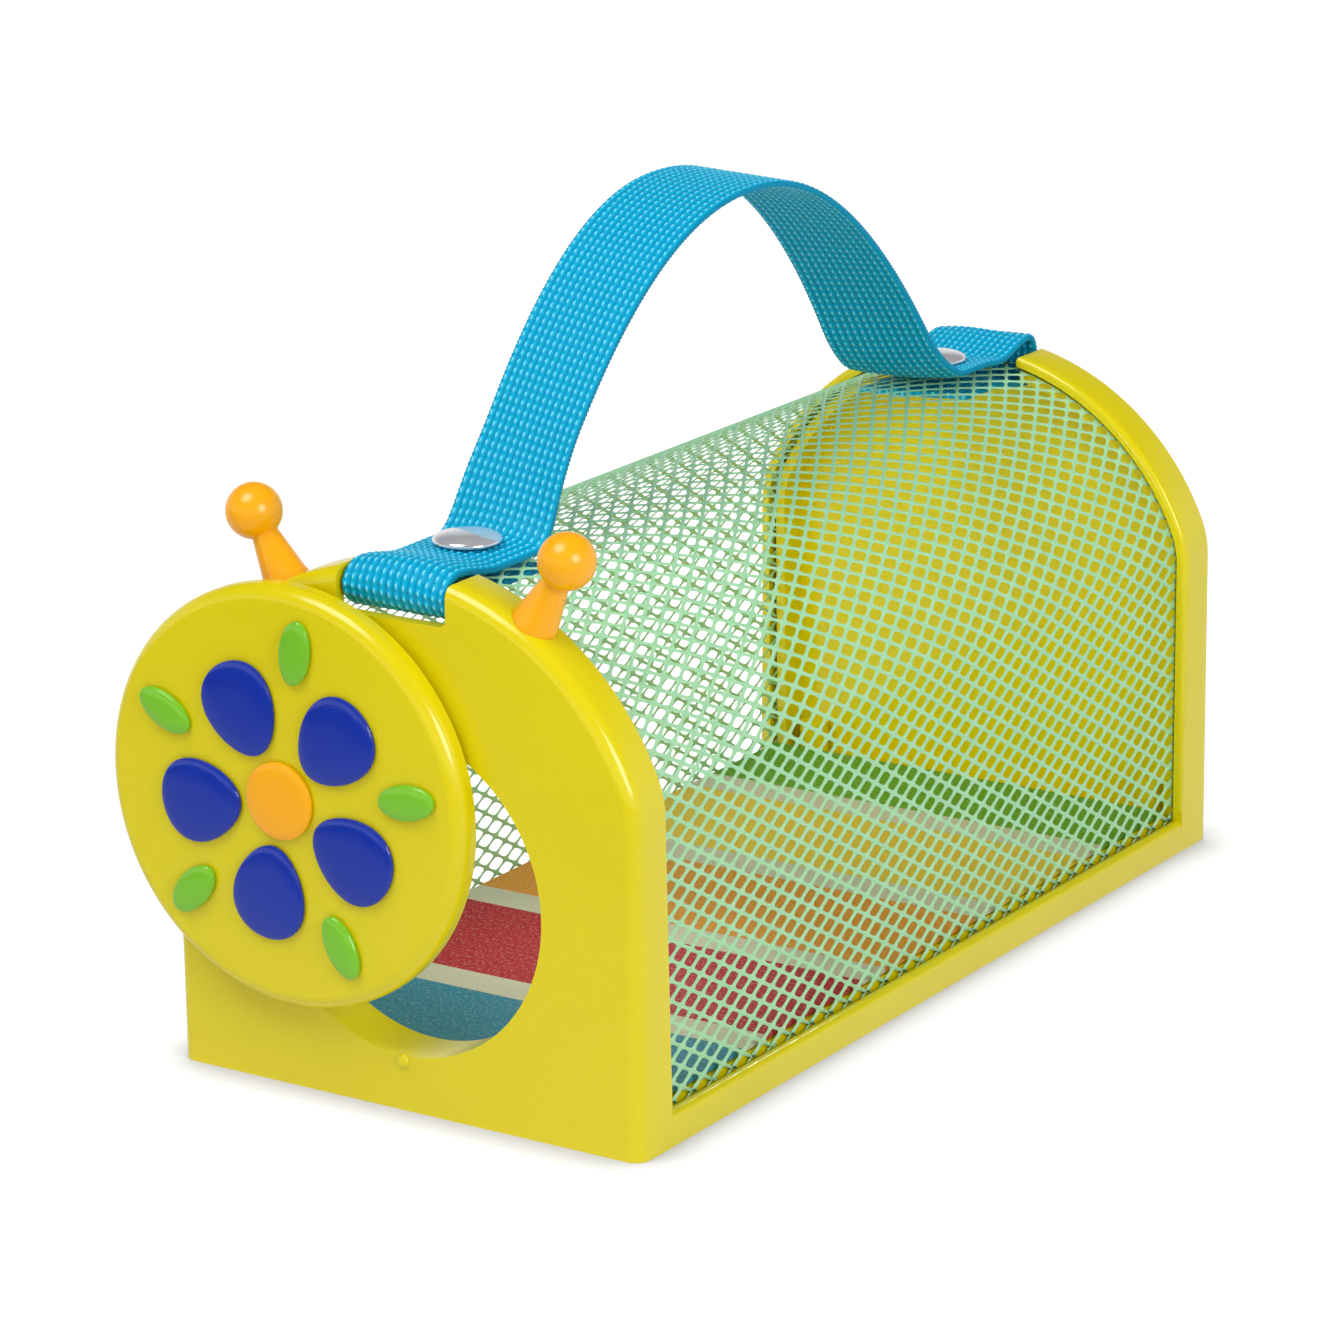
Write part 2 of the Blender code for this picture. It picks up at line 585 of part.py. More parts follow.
def rivet(name, y, material):
    """Two-piece rivet: a domed cap whose post goes down through the strap into a back with a socket."""
    cap_seat = STRAP_MIDDLE + STRAP_THICKNESS / 2 + SEAT_GAP
    back_seat = TAIL_MIDDLE - STRAP_THICKNESS / 2 - SEAT_GAP
    back_low = back_seat - RIVET_BACK_THICKNESS
    place = Matrix.Translation((0, y, 0))
    dome = [(RIVET_RADIUS * math.cos(turn), cap_seat + RIVET_DOME * (0.25 + 0.75 * math.sin(turn)))
            for turn in (math.pi / 2 * step / 4 for step in range(5))]
    post = [(0, back_low), (RIVET_POST_RADIUS, back_low), (RIVET_POST_RADIUS, cap_seat), (RIVET_RADIUS, cap_seat)]
    dome[-1] = (0, dome[-1][1])
    solid(name + "_cap", moved(turned(post + dome, 20), place), material)
    socket = RIVET_POST_RADIUS + SEAT_GAP
    ring = [(socket, back_low), (RIVET_BACK_RADIUS - RIVET_BACK_THICKNESS / 2, back_low),
            (RIVET_BACK_RADIUS, back_low + RIVET_BACK_THICKNESS / 2), (RIVET_BACK_RADIUS, back_seat),
            (socket, back_seat)]
    solid(name + "_back", moved(turned_ring(ring, 20), place), material)


def turned_ring(profile, steps):
    """Closed bmesh of a closed profile of (radius, height) points, clear of the axis, turned about Z."""
    shape = bmesh.new()
    points = [shape.verts.new((radius, 0, height)) for radius, height in profile]
    edges = [shape.edges.new((points[i - 1], points[i])) for i in range(len(points))]
    bmesh.ops.spin(shape, geom=points + edges, cent=(0, 0, 0), axis=(0, 0, 1),
                   angle=2 * math.pi, steps=steps, use_merge=True)
    bmesh.ops.remove_doubles(shape, verts=shape.verts, dist=0.00001)
    return shape


def antenna(name, side, material):
    """Peg with a tapered stem and a ball, and a spigot that plugs into the rim."""
    neck_turn = math.asin(ANTENNA_NECK_RADIUS / ANTENNA_BALL_RADIUS)
    ball = []
    for step in range(9):
        turn = neck_turn + (math.pi - neck_turn) * step / 8
        ball.append((ANTENNA_BALL_RADIUS * math.sin(turn), ANTENNA_REACH - ANTENNA_BALL_RADIUS * math.cos(turn)))
    ball[-1] = (0, ANTENNA_REACH + ANTENNA_BALL_RADIUS)
    spigot_end = SEAT_GAP / 2 - RIM_WALL
    stem = [(0, spigot_end), (ANTENNA_SPIGOT_RADIUS, spigot_end), (ANTENNA_SPIGOT_RADIUS, SEAT_GAP),
            (ANTENNA_BASE_RADIUS, SEAT_GAP)]
    return solid(name, moved(turned(stem + ball, 20), antenna_place(side)), material)


def door_disc(material, pivot):
    """Round door, hollow behind, with a spacer and a pivot post. It is drawn closed, about its pivot."""
    cavity = DOOR_FRONT - DOOR_FACE
    inner = DOOR_RADIUS - DOOR_RIM_WALL
    edge = []
    for step in range(EDGE_STEPS + 1):
        turn = math.pi / 2 * step / EDGE_STEPS
        edge.append((DOOR_RADIUS - DOOR_EDGE_ROUND * (1 - math.cos(turn)),
                     DOOR_FRONT - DOOR_EDGE_ROUND * (1 - math.sin(turn))))
    profile = [(0, cavity), (inner, cavity), (inner, DOOR_STANDOFF), (DOOR_RADIUS, DOOR_STANDOFF), *edge,
               (0, DOOR_FRONT)]
    middle = Matrix.Translation((0, 0, -DOOR_DROP)) @ FACING_FRONT
    disc = solid("door_disc", moved(turned(profile, DOORWAY_STEPS), middle), material, pivot)
    root = cavity + DOOR_FACE / 2
    post = [(0, -PIVOT_POST_END), (PIVOT_POST_RADIUS, -PIVOT_POST_END), (PIVOT_POST_RADIUS, SEAT_GAP),
            (PIVOT_SPACER_RADIUS, SEAT_GAP), (PIVOT_SPACER_RADIUS, root), (0, root)]
    combine(disc, moved(turned(post, 20), FACING_FRONT), "UNION")
    bore = rod(SCREW_SHANK_RADIUS + SEAT_GAP, -PIVOT_POST_END - CUT_PAST, PIVOT_SCREW_GRIP - PIVOT_POST_END, 12)
    combine(disc, moved(bore, FACING_FRONT), "DIFFERENCE")
    return disc


def pivot_fasteners(material, pivot):
    """Washer and screw behind the front wall, which keep the door's post in its hole."""
    washer_front = -PIVOT_POST_END - SEAT_GAP
    washer_back = washer_front - WASHER_THICKNESS
    hole = SCREW_SHANK_RADIUS + SEAT_GAP
    ring = [(hole, washer_back), (WASHER_RADIUS, washer_back), (WASHER_RADIUS, washer_front), (hole, washer_front)]
    solid("door_pivot_washer", moved(turned_ring(ring, 20), FACING_FRONT), material, pivot)
    head_front = washer_back - SEAT_GAP
    head_back = head_front - PIVOT_SCREW_HEAD_HEIGHT
    tip = PIVOT_SCREW_GRIP - PIVOT_POST_END - SEAT_GAP
    profile = [(0, head_back), (0.6 * SCREW_HEAD_RADIUS, head_back),
               (SCREW_HEAD_RADIUS, head_back + 0.6 * PIVOT_SCREW_HEAD_HEIGHT), (SCREW_HEAD_RADIUS, head_front),
               (SCREW_SHANK_RADIUS, head_front), (SCREW_SHANK_RADIUS, tip - SCREW_SHANK_RADIUS), (0, tip)]
    solid("door_pivot_screw", moved(turned(profile, 12), FACING_FRONT), material, pivot)


def egg(length, width, taper, steps):
    """Egg outline along +Y as (x, y) points, broad end outwards."""
    points = []
    for step in range(steps):
        turn = 2 * math.pi * step / steps
        swell = 1 + taper * math.cos(turn)
        points.append((width / 2 * math.sin(turn) * swell, length / 2 * math.cos(turn)))
    return points


def domed(outline, height):
    """Closed bmesh of an outline raised along Z into a low dome."""
    rings = ((1.0, 0.0), (1.0, 0.35), (0.9, 0.68), (0.68, 0.92), (0.36, 1.0))
    return lofted([[(x * share, y * share, rise * height) for x, y in outline] for share, rise in rings])


def door_flower(centre_finish, petal_finish, leaf_finish, pivot):
    """Raised flower on the door: a centre, petals round it and a leaf between each two petals."""
    middle = Matrix.Translation((0, -DOOR_FRONT - SEAT_GAP, -DOOR_DROP)) @ FACING_FRONT
    disc = egg(2 * FLOWER_CENTRE_RADIUS, 2 * FLOWER_CENTRE_RADIUS, 0, 20)
    solid("flower_centre", moved(domed(disc, FLOWER_DOME), middle), centre_finish, pivot)
    for number in range(FLOWER_PETALS):
        turn = 2 * math.pi * number / FLOWER_PETALS
        petal = middle @ Matrix.Rotation(turn, 4, "Z") @ Matrix.Translation((0, PETAL_RING_RADIUS, 0))
        shape = domed(egg(PETAL_LENGTH, PETAL_WIDTH, 0.2, 18), FLOWER_DOME)
        solid(f"flower_petal_{number + 1}", moved(shape, petal), petal_finish, pivot)
        between = turn + math.pi / FLOWER_PETALS
        leaf = middle @ Matrix.Rotation(between, 4, "Z") @ Matrix.Translation((0, LEAF_RING_RADIUS, 0))
        shape = domed(egg(LEAF_LENGTH, LEAF_WIDTH, 0, 12), FLOWER_DOME)
        solid(f"flower_leaf_{number + 1}", moved(shape, leaf), leaf_finish, pivot)


def bug_house():
    """The whole house, piece by piece."""
    yellow = finish("yellow_abs", "F0E000", 0.25)
    green = finish("green_coated_mesh", "9ED6A4", 0.45)
    webbing = finish("blue_webbing", "1C9BCB", 0.8)
    orange = finish("orange_abs", "FFA000", 0.2)
    steel = finish("polished_steel", "D8D8DC", 0.15, 1.0)
    print_sheet = finish("printed_sheet", "C8A050", 0.6)
    blue = finish("blue_gloss", "1030A0", 0.15)
    leaf_green = finish("leaf_green_gloss", "7CC42C", 0.15)

    front_panel(yellow)
    end_panel("rear_panel", 1, yellow)
    base_tray(yellow)
    floor_sheet(print_sheet)
    for corner, place in screw_places().items():
        base_screw("base_screw_" + corner, place, steel)
    mesh_cover(green)
    carry_strap(webbing)
    rivet("front_rivet", FRONT + RIVET_INSET, steel)
    rivet("rear_rivet", -FRONT - RIVET_INSET, steel)
    antenna("antenna_left", -1, orange)
    antenna("antenna_right", 1, orange)

    pivot = bpy.data.objects.new("door_pivot", None)
    bpy.context.scene.collection.objects.link(pivot)
    pivot.location = (0, FRONT, PIVOT_HEIGHT)
    door_disc(yellow, pivot)
    pivot_fasteners(steel, pivot)
    door_flower(orange, blue, leaf_green, pivot)
    pivot.rotation_euler = (0, DOOR_OPEN_ANGLE, 0)
    for thing in bpy.context.scene.objects:
        if thing.type == "MESH":
            shade(thing)


for thing in list(bpy.data.objects):
    bpy.data.objects.remove(thing)
bug_house()
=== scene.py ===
"""Bug house on a white table: an arched mesh house with moulded yellow ends, a round door and a webbing handle."""
import bisect
import math

import bmesh
import bpy
from mathutils import Matrix, Vector


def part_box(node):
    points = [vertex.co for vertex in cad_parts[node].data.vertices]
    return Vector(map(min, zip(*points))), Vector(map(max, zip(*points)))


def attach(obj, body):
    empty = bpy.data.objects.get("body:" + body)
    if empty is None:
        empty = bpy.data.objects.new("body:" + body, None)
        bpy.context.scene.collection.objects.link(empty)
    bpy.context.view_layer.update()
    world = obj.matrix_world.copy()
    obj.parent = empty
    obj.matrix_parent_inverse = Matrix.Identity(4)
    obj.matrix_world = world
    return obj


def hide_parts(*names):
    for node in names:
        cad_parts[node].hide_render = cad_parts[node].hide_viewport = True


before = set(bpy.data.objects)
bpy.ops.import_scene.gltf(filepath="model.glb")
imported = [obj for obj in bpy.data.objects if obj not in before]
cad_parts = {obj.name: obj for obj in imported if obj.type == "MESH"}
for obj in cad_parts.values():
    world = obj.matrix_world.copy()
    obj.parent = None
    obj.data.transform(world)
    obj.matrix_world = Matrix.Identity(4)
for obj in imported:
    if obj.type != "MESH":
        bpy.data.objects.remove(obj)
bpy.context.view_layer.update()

# Camera. A long lens looks down a little on the front right corner of the house.
# Its place, turn and length were worked out from the house's straight edges.
yaw = math.radians(33.538)
pitch = math.radians(16.39)
roll = math.radians(-0.803)
level = Vector((math.cos(yaw), math.sin(yaw), 0))
ahead = Vector((-math.sin(yaw) * math.cos(pitch), math.cos(yaw) * math.cos(pitch), -math.sin(pitch)))
upright = level.cross(ahead)
across = level * math.cos(roll) + upright * math.sin(roll)
above = upright * math.cos(roll) - level * math.sin(roll)
lens = bpy.data.cameras.new("camera")
lens.lens = 140.72
lens.sensor_width = 36
camera = bpy.data.objects.new("camera", lens)
camera_place = (0.53904, -0.83475, 0.35231)
camera.matrix_world = Matrix.Translation(camera_place) @ Matrix((across, above, -ahead)).transposed().to_4x4()
bpy.context.scene.collection.objects.link(camera)
bpy.context.scene.camera = camera
bpy.context.scene.view_settings.view_transform = "Standard"


# Table and light. A sheet of matt white card runs out of view under and behind the house.
# A softbox hangs high in front, a smaller one stands low on the right, and a plain room fills in the shadows.
# Two small spots inside the house, out of the camera's sight, lift the rear wall and the sill of the doorway.
def linear(hex_code):
    """Linear colour of an sRGB hex code."""
    channels = [int(hex_code[i:i + 2], 16) / 255 for i in (0, 2, 4)]
    return (*[c / 12.92 if c <= 0.04045 else ((c + 0.055) / 1.055) ** 2.4 for c in channels], 1.0)


def add(tree, kind, inputs, **settings):
    """Add a node with its settings, and set or link its inputs."""
    made = tree.nodes.new(kind)
    for name, value in settings.items():
        setattr(made, name, value)
    for socket, value in inputs.items():
        if isinstance(value, bpy.types.NodeSocket):
            tree.links.new(value, made.inputs[socket])
        else:
            made.inputs[socket].default_value = value
    return made


def ways_of_seeing(tree):
    """1 where the eye meets the surface, straight or through something clear, and 1 where a reflection does."""
    path = add(tree, "ShaderNodeLightPath", {}).outputs
    eye = add(tree, "ShaderNodeMath", {0: path["Is Camera Ray"], 1: path["Is Transmission Ray"]}, operation="MAXIMUM")
    return eye.outputs[0], path["Is Glossy Ray"]


# The card's glow carries a painted contact shadow, darkened by ambient occlusion in a narrow line where the house
# stands on it, and in reflections its near part is painted darker, falling away into the room
card = bpy.data.materials.new("matt_white_card")
card.use_nodes = True
card.node_tree.nodes.clear()
tree = card.node_tree
plain = add(tree, "ShaderNodeBsdfDiffuse", {"Color": linear("E6E6E6")})
# Painted contact shadow: the occlusion near the house dims the card's glow
closed_in = add(tree, "ShaderNodeAmbientOcclusion", {"Distance": 0.012}, samples=16)
painted_contact_shadow = add(tree, "ShaderNodeMapRange", {0: closed_in.outputs["AO"], 1: 0.5, 2: 1.0, 3: 0.34, 4: 0.88})
glow = add(tree, "ShaderNodeEmission", {"Color": (1, 1, 1, 1), "Strength": painted_contact_shadow.outputs[0]})
shadow = add(tree, "ShaderNodeBsdfDiffuse", {"Color": linear("959595")})
lifted = add(tree, "ShaderNodeAddShader", {0: shadow.outputs[0], 1: glow.outputs[0]})
# Painted shade in reflections: as reflections see it, the card glows less towards the front and is darker near the
# camera
spot = add(tree, "ShaderNodeTexCoord", {}).outputs["Object"]
along = add(tree, "ShaderNodeSeparateXYZ", {"Vector": spot}).outputs["Y"]
painted_falloff = add(tree, "ShaderNodeMapRange", {0: along, 1: -0.4, 2: -0.05, 3: 0.06, 4: 0.9})
mirrored_with_painted_falloff = add(tree, "ShaderNodeEmission", {"Color": (1, 1, 1, 1), "Strength": painted_falloff.outputs[0]})
eye, reflection = ways_of_seeing(tree)
lit = add(tree, "ShaderNodeMixShader", {0: reflection, 1: plain.outputs[0], 2: mirrored_with_painted_falloff.outputs[0]})
both = add(tree, "ShaderNodeMixShader", {0: eye, 1: lit.outputs[0], 2: lifted.outputs[0]})
add(tree, "ShaderNodeOutputMaterial", {"Surface": both.outputs[0]})

shape = bmesh.new()
bmesh.ops.create_grid(shape, x_segments=1, y_segments=1, size=4)
mesh = bpy.data.meshes.new("table")
shape.to_mesh(mesh)
shape.free()
mesh.materials.append(card)
table = bpy.data.objects.new("table", mesh)
bpy.context.scene.collection.objects.link(table)

room = bpy.data.worlds.new("plain_room")
room.use_nodes = True
room.node_tree.nodes.clear()
tree = room.node_tree
direction = add(tree, "ShaderNodeTexCoord", {}).outputs["Generated"]
upwards = add(tree, "ShaderNodeSeparateXYZ", {"Vector": direction}).outputs["Z"]
sweep = add(tree, "ShaderNodeMapRange", {0: upwards, 1: 0.15, 2: 0.5, 3: 0.9, 4: 0.04})
eye, reflection = ways_of_seeing(tree)
dim = add(tree, "ShaderNodeMix", {"Factor": reflection, "A": 0.5, "B": sweep.outputs[0]})
strength = add(tree, "ShaderNodeMix", {"Factor": eye, "A": dim.outputs[0], "B": 1.0})
white = add(tree, "ShaderNodeBackground", {"Color": (1, 1, 1, 1), "Strength": strength.outputs[0]})
add(tree, "ShaderNodeOutputWorld", {"Surface": white.outputs[0]})
bpy.context.scene.world = room

lamps = (("softbox_high", "AREA", (-0.22, -0.7, 1.24), (0, 0, 0.05), 0.8, 8.8),
         ("softbox_right", "AREA", (1.1, -0.45, 0.57), (0, 0, 0.05), 0.55, 5.8),
         ("fill_rear_wall", "SPOT", (0, -0.09, 0.083), (0, 0.11, 0.05), 0.02, 0.36),
         ("fill_doorway", "SPOT", (0, 0.06, 0.085), (0, -0.1, 0.01), 0.02, 0.5))
spot_angle = math.radians(42)
spot_blend = 0.6
for name, kind, place, aim, size, watts in lamps:
    lamp = bpy.data.lights.new(name, kind)
    lamp.energy = watts
    if kind == "AREA":
        lamp.shape = "DISK"
        lamp.size = size
    else:
        lamp.shadow_soft_size = size
        lamp.spot_size = spot_angle
        lamp.spot_blend = spot_blend
    light = bpy.data.objects.new(name, lamp)
    light.location = place
    light.rotation_euler = (Vector(aim) - Vector(place)).to_track_quat("-Z", "Y").to_euler()
    light.visible_camera = False
    bpy.context.scene.collection.objects.link(light)


# End panels. Each end of the house is one injection moulding in glossy yellow ABS: a wall with a rounded edge,
# a rim round it, and a lip inside the rim that traps the edge of the mesh. The front one has the round doorway,
# with a collar round it inside, and a hole for the door's pivot. Both have a notch at the top for the strap.
rear_low, rear_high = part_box("rear_panel")
half_width = rear_high[0]
house_end = rear_high[1]
panel_depth = rear_high[1] - rear_low[1]
shoulder_height = 0.067
crown_height = 0.105
arch_rise = crown_height - shoulder_height
arch_radius = (half_width ** 2 + arch_rise ** 2) / (2 * arch_rise)
arch_centre = crown_height - arch_radius
shoulder_round = 0.02
shoulder_reach = half_width - shoulder_round
shoulder_centre = arch_centre + math.sqrt((arch_radius - shoulder_round) ** 2 - shoulder_reach ** 2)
arch_half_turn = math.atan2(shoulder_reach, shoulder_centre - arch_centre)
front_notch = 0.01225
rear_notch = 0.0117
notch_floor = 0.09553
notch_round = 0.0008
notch_corner = 0.0015
notch_reach = 0.02
fine_weld = 0.000002
weld = 0.00001
hair = 0.000001


def surface(name):
    """New material with its tree and its shader."""
    material = bpy.data.materials.new(name)
    material.use_nodes = True
    return material, material.node_tree, material.node_tree.nodes["Principled BSDF"]


def moulded_abs(name, deep, pale, rough):
    """Injection-moulded ABS from a polished mould, coloured through.

    It is glossy, faintly wavy where the wall shrank over thick places, and has the finest of scuffs in its gloss.
    """
    material, tree, shader = surface(name)
    spot = add(tree, "ShaderNodeTexCoord", {}).outputs["Object"]
    flow = add(tree, "ShaderNodeTexNoise", {"Vector": spot, "Scale": 1 / 0.045, "Detail": 2.0}).outputs["Fac"]
    tint = add(tree, "ShaderNodeValToRGB", {"Fac": flow})
    tint.color_ramp.elements[0].color = linear(deep)
    tint.color_ramp.elements[1].color = linear(pale)
    tree.links.new(tint.outputs["Color"], shader.inputs["Base Color"])
    scuff = add(tree, "ShaderNodeTexNoise", {"Vector": spot, "Scale": 1 / 0.0012, "Detail": 6.0}).outputs["Fac"]
    gloss = add(tree, "ShaderNodeMapRange", {0: scuff, 3: rough - 0.04, 4: rough + 0.04})
    tree.links.new(gloss.outputs[0], shader.inputs["Roughness"])
    sink = add(tree, "ShaderNodeTexNoise", {"Vector": spot, "Scale": 1 / 0.012, "Detail": 1.0}).outputs["Fac"]
    wave = add(tree, "ShaderNodeBump", {"Height": sink, "Strength": 0.05, "Distance": 0.0004})
    tree.links.new(wave.outputs[0], shader.inputs["Normal"])
    shader.inputs["IOR"].default_value = 1.53
    return material


yellow_abs = moulded_abs("moulded_yellow_abs", "DECC00", "E6D60A", 0.19)


def piece(name, shape, material, smooth=30):
    """Object made from a closed bmesh, with its place in its mesh, shaded smooth between its corners."""
    bmesh.ops.remove_doubles(shape, verts=shape.verts, dist=fine_weld)
    bmesh.ops.recalc_face_normals(shape, faces=shape.faces)
    mesh = bpy.data.meshes.new(name)
    shape.to_mesh(mesh)
    shape.free()
    mesh.materials.append(material)
    mesh.shade_smooth()
    mesh.set_sharp_from_angle(angle=math.radians(smooth))
    made = bpy.data.objects.new(name, mesh)
    bpy.context.scene.collection.objects.link(made)
    return made


def combine(thing, shape, operation):
    """Join a closed bmesh to a piece, or cut it away."""
    tool = piece("tool", shape, thing.data.materials[0])
    modifier = thing.modifiers.new(operation.lower(), "BOOLEAN")
    modifier.operation = operation
    modifier.solver = "EXACT"
    modifier.object = tool
    result = bmesh.new()
    result.from_mesh(thing.evaluated_get(bpy.context.evaluated_depsgraph_get()).to_mesh())
    bmesh.ops.remove_doubles(result, verts=result.verts, dist=fine_weld)
    bmesh.ops.dissolve_degenerate(result, edges=result.edges, dist=fine_weld)
    thing.modifiers.clear()
    result.to_mesh(thing.data)
    result.free()
    bpy.data.objects.remove(tool)


def soften(thing, width, kept_crisp=None):
    """Round the edges that moulds and presses never leave quite sharp, apart from those that meet a neighbour."""
    shape = bmesh.new()
    shape.from_mesh(thing.data)
    weight = shape.edges.layers.float.new("bevel_weight_edge")
    for edge in shape.edges:
        middle = (edge.verts[0].co + edge.verts[1].co) / 2
        if edge.calc_face_angle(0) > math.radians(35) and not (kept_crisp and kept_crisp(middle)):
            edge[weight] = 1.0
    shape.to_mesh(thing.data)
    shape.free()
    thing.data.shade_smooth()
    thing.data.set_sharp_from_angle(angle=math.radians(30))
    rounding = thing.modifiers.new("edge", "BEVEL")
    rounding.width = width
    rounding.segments = 3
    rounding.limit_method = "WEIGHT"
    rounding.harden_normals = True


def verts_of(parts):
    """The vertices among an operator's results."""
    return [part for part in parts if isinstance(part, bmesh.types.BMVert)]


def everything(shape):
    """All the vertices, edges and faces of a bmesh."""
    return shape.verts[:] + shape.edges[:] + shape.faces[:]


def next_point(shape, last):
    """New vertex at the place of the last one, with an edge between them."""
    return bmesh.ops.extrude_vert_indiv(shape, verts=[last])["verts"][0]


def round_edges(shape, edges, width, steps):
    """Bevel edges to a round."""
    bmesh.ops.bevel(shape, geom=edges, offset=width, segments=steps, profile=0.5, affect="EDGES", material=-1)


def outline(inset, floor, y):
    """Flat face with the house's outline, inset from its outer walls."""
    shape = bmesh.new()
    foot = shape.verts.new((inset - half_width, y, floor))
    last = next_point(shape, foot)
    last.co.z = shoulder_centre
    shoulder_turn = math.pi / 2 - arch_half_turn
    bends = ((-shoulder_reach, shoulder_centre, shoulder_turn, 6), (0, arch_centre, 2 * arch_half_turn, 54),
             (shoulder_reach, shoulder_centre, shoulder_turn, 6))
    for x, z, turn, steps in bends:
        bend = bmesh.ops.spin(shape, geom=[last], cent=(x, y, z), axis=(0, 1, 0), angle=turn, steps=steps)
        last = verts_of(bend["geom_last"])[0]
    next_point(shape, last).co.z = floor
    bmesh.ops.contextual_create(shape, geom=shape.edges[:])
    return shape


def deepen(shape, depth):
    """Give a flat face depth along Y."""
    grown = bmesh.ops.extrude_face_region(shape, geom=shape.faces[:])["geom"]
    bmesh.ops.translate(shape, vec=(0, depth, 0), verts=verts_of(grown))
    return shape


def rod(radius, bottom, top):
    """Profile of a plain cylinder, for turning."""
    return [(0, bottom), (radius, bottom), (radius, top), (0, top)]


def turned(profile, steps, place):
    """Profile of (radius, height) points, from axis to axis, turned about Z and then moved to its place."""
    shape = bmesh.new()
    points = [shape.verts.new((radius, 0, height)) for radius, height in profile]
    edges = [shape.edges.new(pair) for pair in zip(points, points[1:])]
    bmesh.ops.spin(shape, geom=points + edges, cent=(0, 0, 0), axis=(0, 0, 1), angle=2 * math.pi, steps=steps,
                   use_merge=True)
    bmesh.ops.remove_doubles(shape, verts=shape.verts, dist=weld)
    bmesh.ops.transform(shape, matrix=place, verts=shape.verts)
    return shape


def strap_notch(y, notch_half):
    """What is cut out of the top of a rim: a slot that turns outwards into the arch, with a round in its corners."""
    shape = bmesh.new()
    middle = shape.verts.new((0, y, notch_floor))
    corner = next_point(shape, middle)
    corner.co.x = -notch_half
    wall = next_point(shape, corner)
    centre = Vector((-notch_half - notch_round, y, 0))
    centre.z = arch_centre + math.sqrt((arch_radius - notch_round) ** 2 - centre.x ** 2)
    wall.co.z = centre.z
    outward = Vector((centre.x, 0, centre.z - arch_centre)).normalized()
    lip = bmesh.ops.spin(shape, geom=[wall], cent=centre, axis=(0, 1, 0), angle=-math.acos(outward.x), steps=6)
    top = next_point(shape, verts_of(lip["geom_last"])[0])
    top.co += outward * notch_reach
    bmesh.ops.mirror(shape, geom=shape.verts[:] + shape.edges[:], axis="X", merge_dist=weld)
    bmesh.ops.contextual_create(shape, geom=shape.edges[:])
    deepen(shape, 2 * notch_reach)
    corners = [edge for edge in shape.edges if all(abs(vert.co.z - notch_floor) < hair for vert in edge.verts)
               and abs(edge.verts[0].co.x - edge.verts[1].co.x) < hair and abs(edge.verts[0].co.x) > 0.001]
    round_edges(shape, corners, notch_corner, 4)
    return shape


# The wall, the rim and the lip of each end, with two bosses for the screws from below
panel_wall = 0.0024
wall_middle = panel_wall / 2
front_round = 0.003
rear_round = 0.0008
tray_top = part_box("base_tray")[1][2]
rim_start = tray_top + 0.002
rim_wall = 0.0022
rim_round = 0.0013
inner_foot = 0.0027
lip_outside = 0.0032
lip_inside = 0.0054
lip_depth = 0.0079
screw_boss_inset = 0.0105
screw_boss_setback = 0.00528
screw_boss_radius = 0.0032
screw_boss_top = 0.0128
ends = {}
for name, side, outer_round in (("front_panel", -1, front_round), ("rear_panel", 1, rear_round)):
    face = side * house_end
    shape = deepen(outline(0, 0, face), -side * panel_depth)
    bmesh.ops.bisect_plane(shape, geom=everything(shape), plane_no=(0, 0, 1), plane_co=(0, 0, rim_start))
    for y, floor, width in ((face, 0, outer_round), (face - side * panel_depth, rim_start - 0.0005, rim_round)):
        rounded = [edge for edge in shape.edges
                   if all(abs(vert.co.y - y) < hair and vert.co.z > floor - hair for vert in edge.verts)
                   and any(vert.co.z > hair for vert in edge.verts)]
        round_edges(shape, rounded, width, 8)
    end = piece(name + "_moulding", shape, yellow_abs)
    combine(end, deepen(outline(rim_wall, -0.01, face - side * panel_wall), -side * panel_depth), "DIFFERENCE")
    lip_outline = outline(lip_outside, inner_foot, face - side * wall_middle)
    lip = piece("lip", deepen(lip_outline, -side * lip_depth), yellow_abs)
    combine(lip, deepen(outline(lip_inside, -0.01, face + side * 0.01), -side * 0.03), "DIFFERENCE")
    lip_shape = bmesh.new()
    lip_shape.from_mesh(lip.data)
    bpy.data.objects.remove(lip)
    combine(end, lip_shape, "UNION")
    for x in (-half_width + screw_boss_inset, half_width - screw_boss_inset):
        boss_place = Matrix.Translation((x, face - side * screw_boss_setback, 0))
        combine(end, turned(rod(screw_boss_radius, inner_foot, screw_boss_top), 24, boss_place), "UNION")
    ends[name] = end

# The front end's doorway with its collar and the catch below it, the door's pivot hole and the antennae's sockets
doorway_radius = 0.032
doorway_height = 0.043
collar_radius = 0.0337
catch_drop = 0.0011
pivot_height = 0.0806
pivot_boss_radius = 0.0052
pivot_boss_depth = 0.005
pivot_hole_radius = 0.0025
antenna_tilt = math.radians(30)
antenna_depth = 0.0059
antenna_foot = 0.0045
antenna_bore = antenna_foot + 0.00005
socket_depth = 0.0014
cutter_back = -0.02
cutter_front = 0.01
front = -house_end
front_end = ends["front_panel"]
facing_front = Matrix.Rotation(math.radians(90), 4, "X")
doorway = Matrix.Translation((0, front, doorway_height)) @ facing_front
combine(front_end, turned(rod(collar_radius, -panel_depth, -wall_middle), 96, doorway), "UNION")
combine(front_end, turned(rod(doorway_radius, cutter_back, cutter_front), 96, doorway), "DIFFERENCE")
pivot = Matrix.Translation((0, front, pivot_height)) @ facing_front
combine(front_end, turned(rod(pivot_boss_radius, -pivot_boss_depth, -wall_middle), 32, pivot), "UNION")
combine(front_end, turned(rod(pivot_hole_radius, cutter_back, cutter_front), 24, pivot), "DIFFERENCE")
catch = Matrix.Translation((0, front, doorway_height - doorway_radius - catch_drop)) @ facing_front
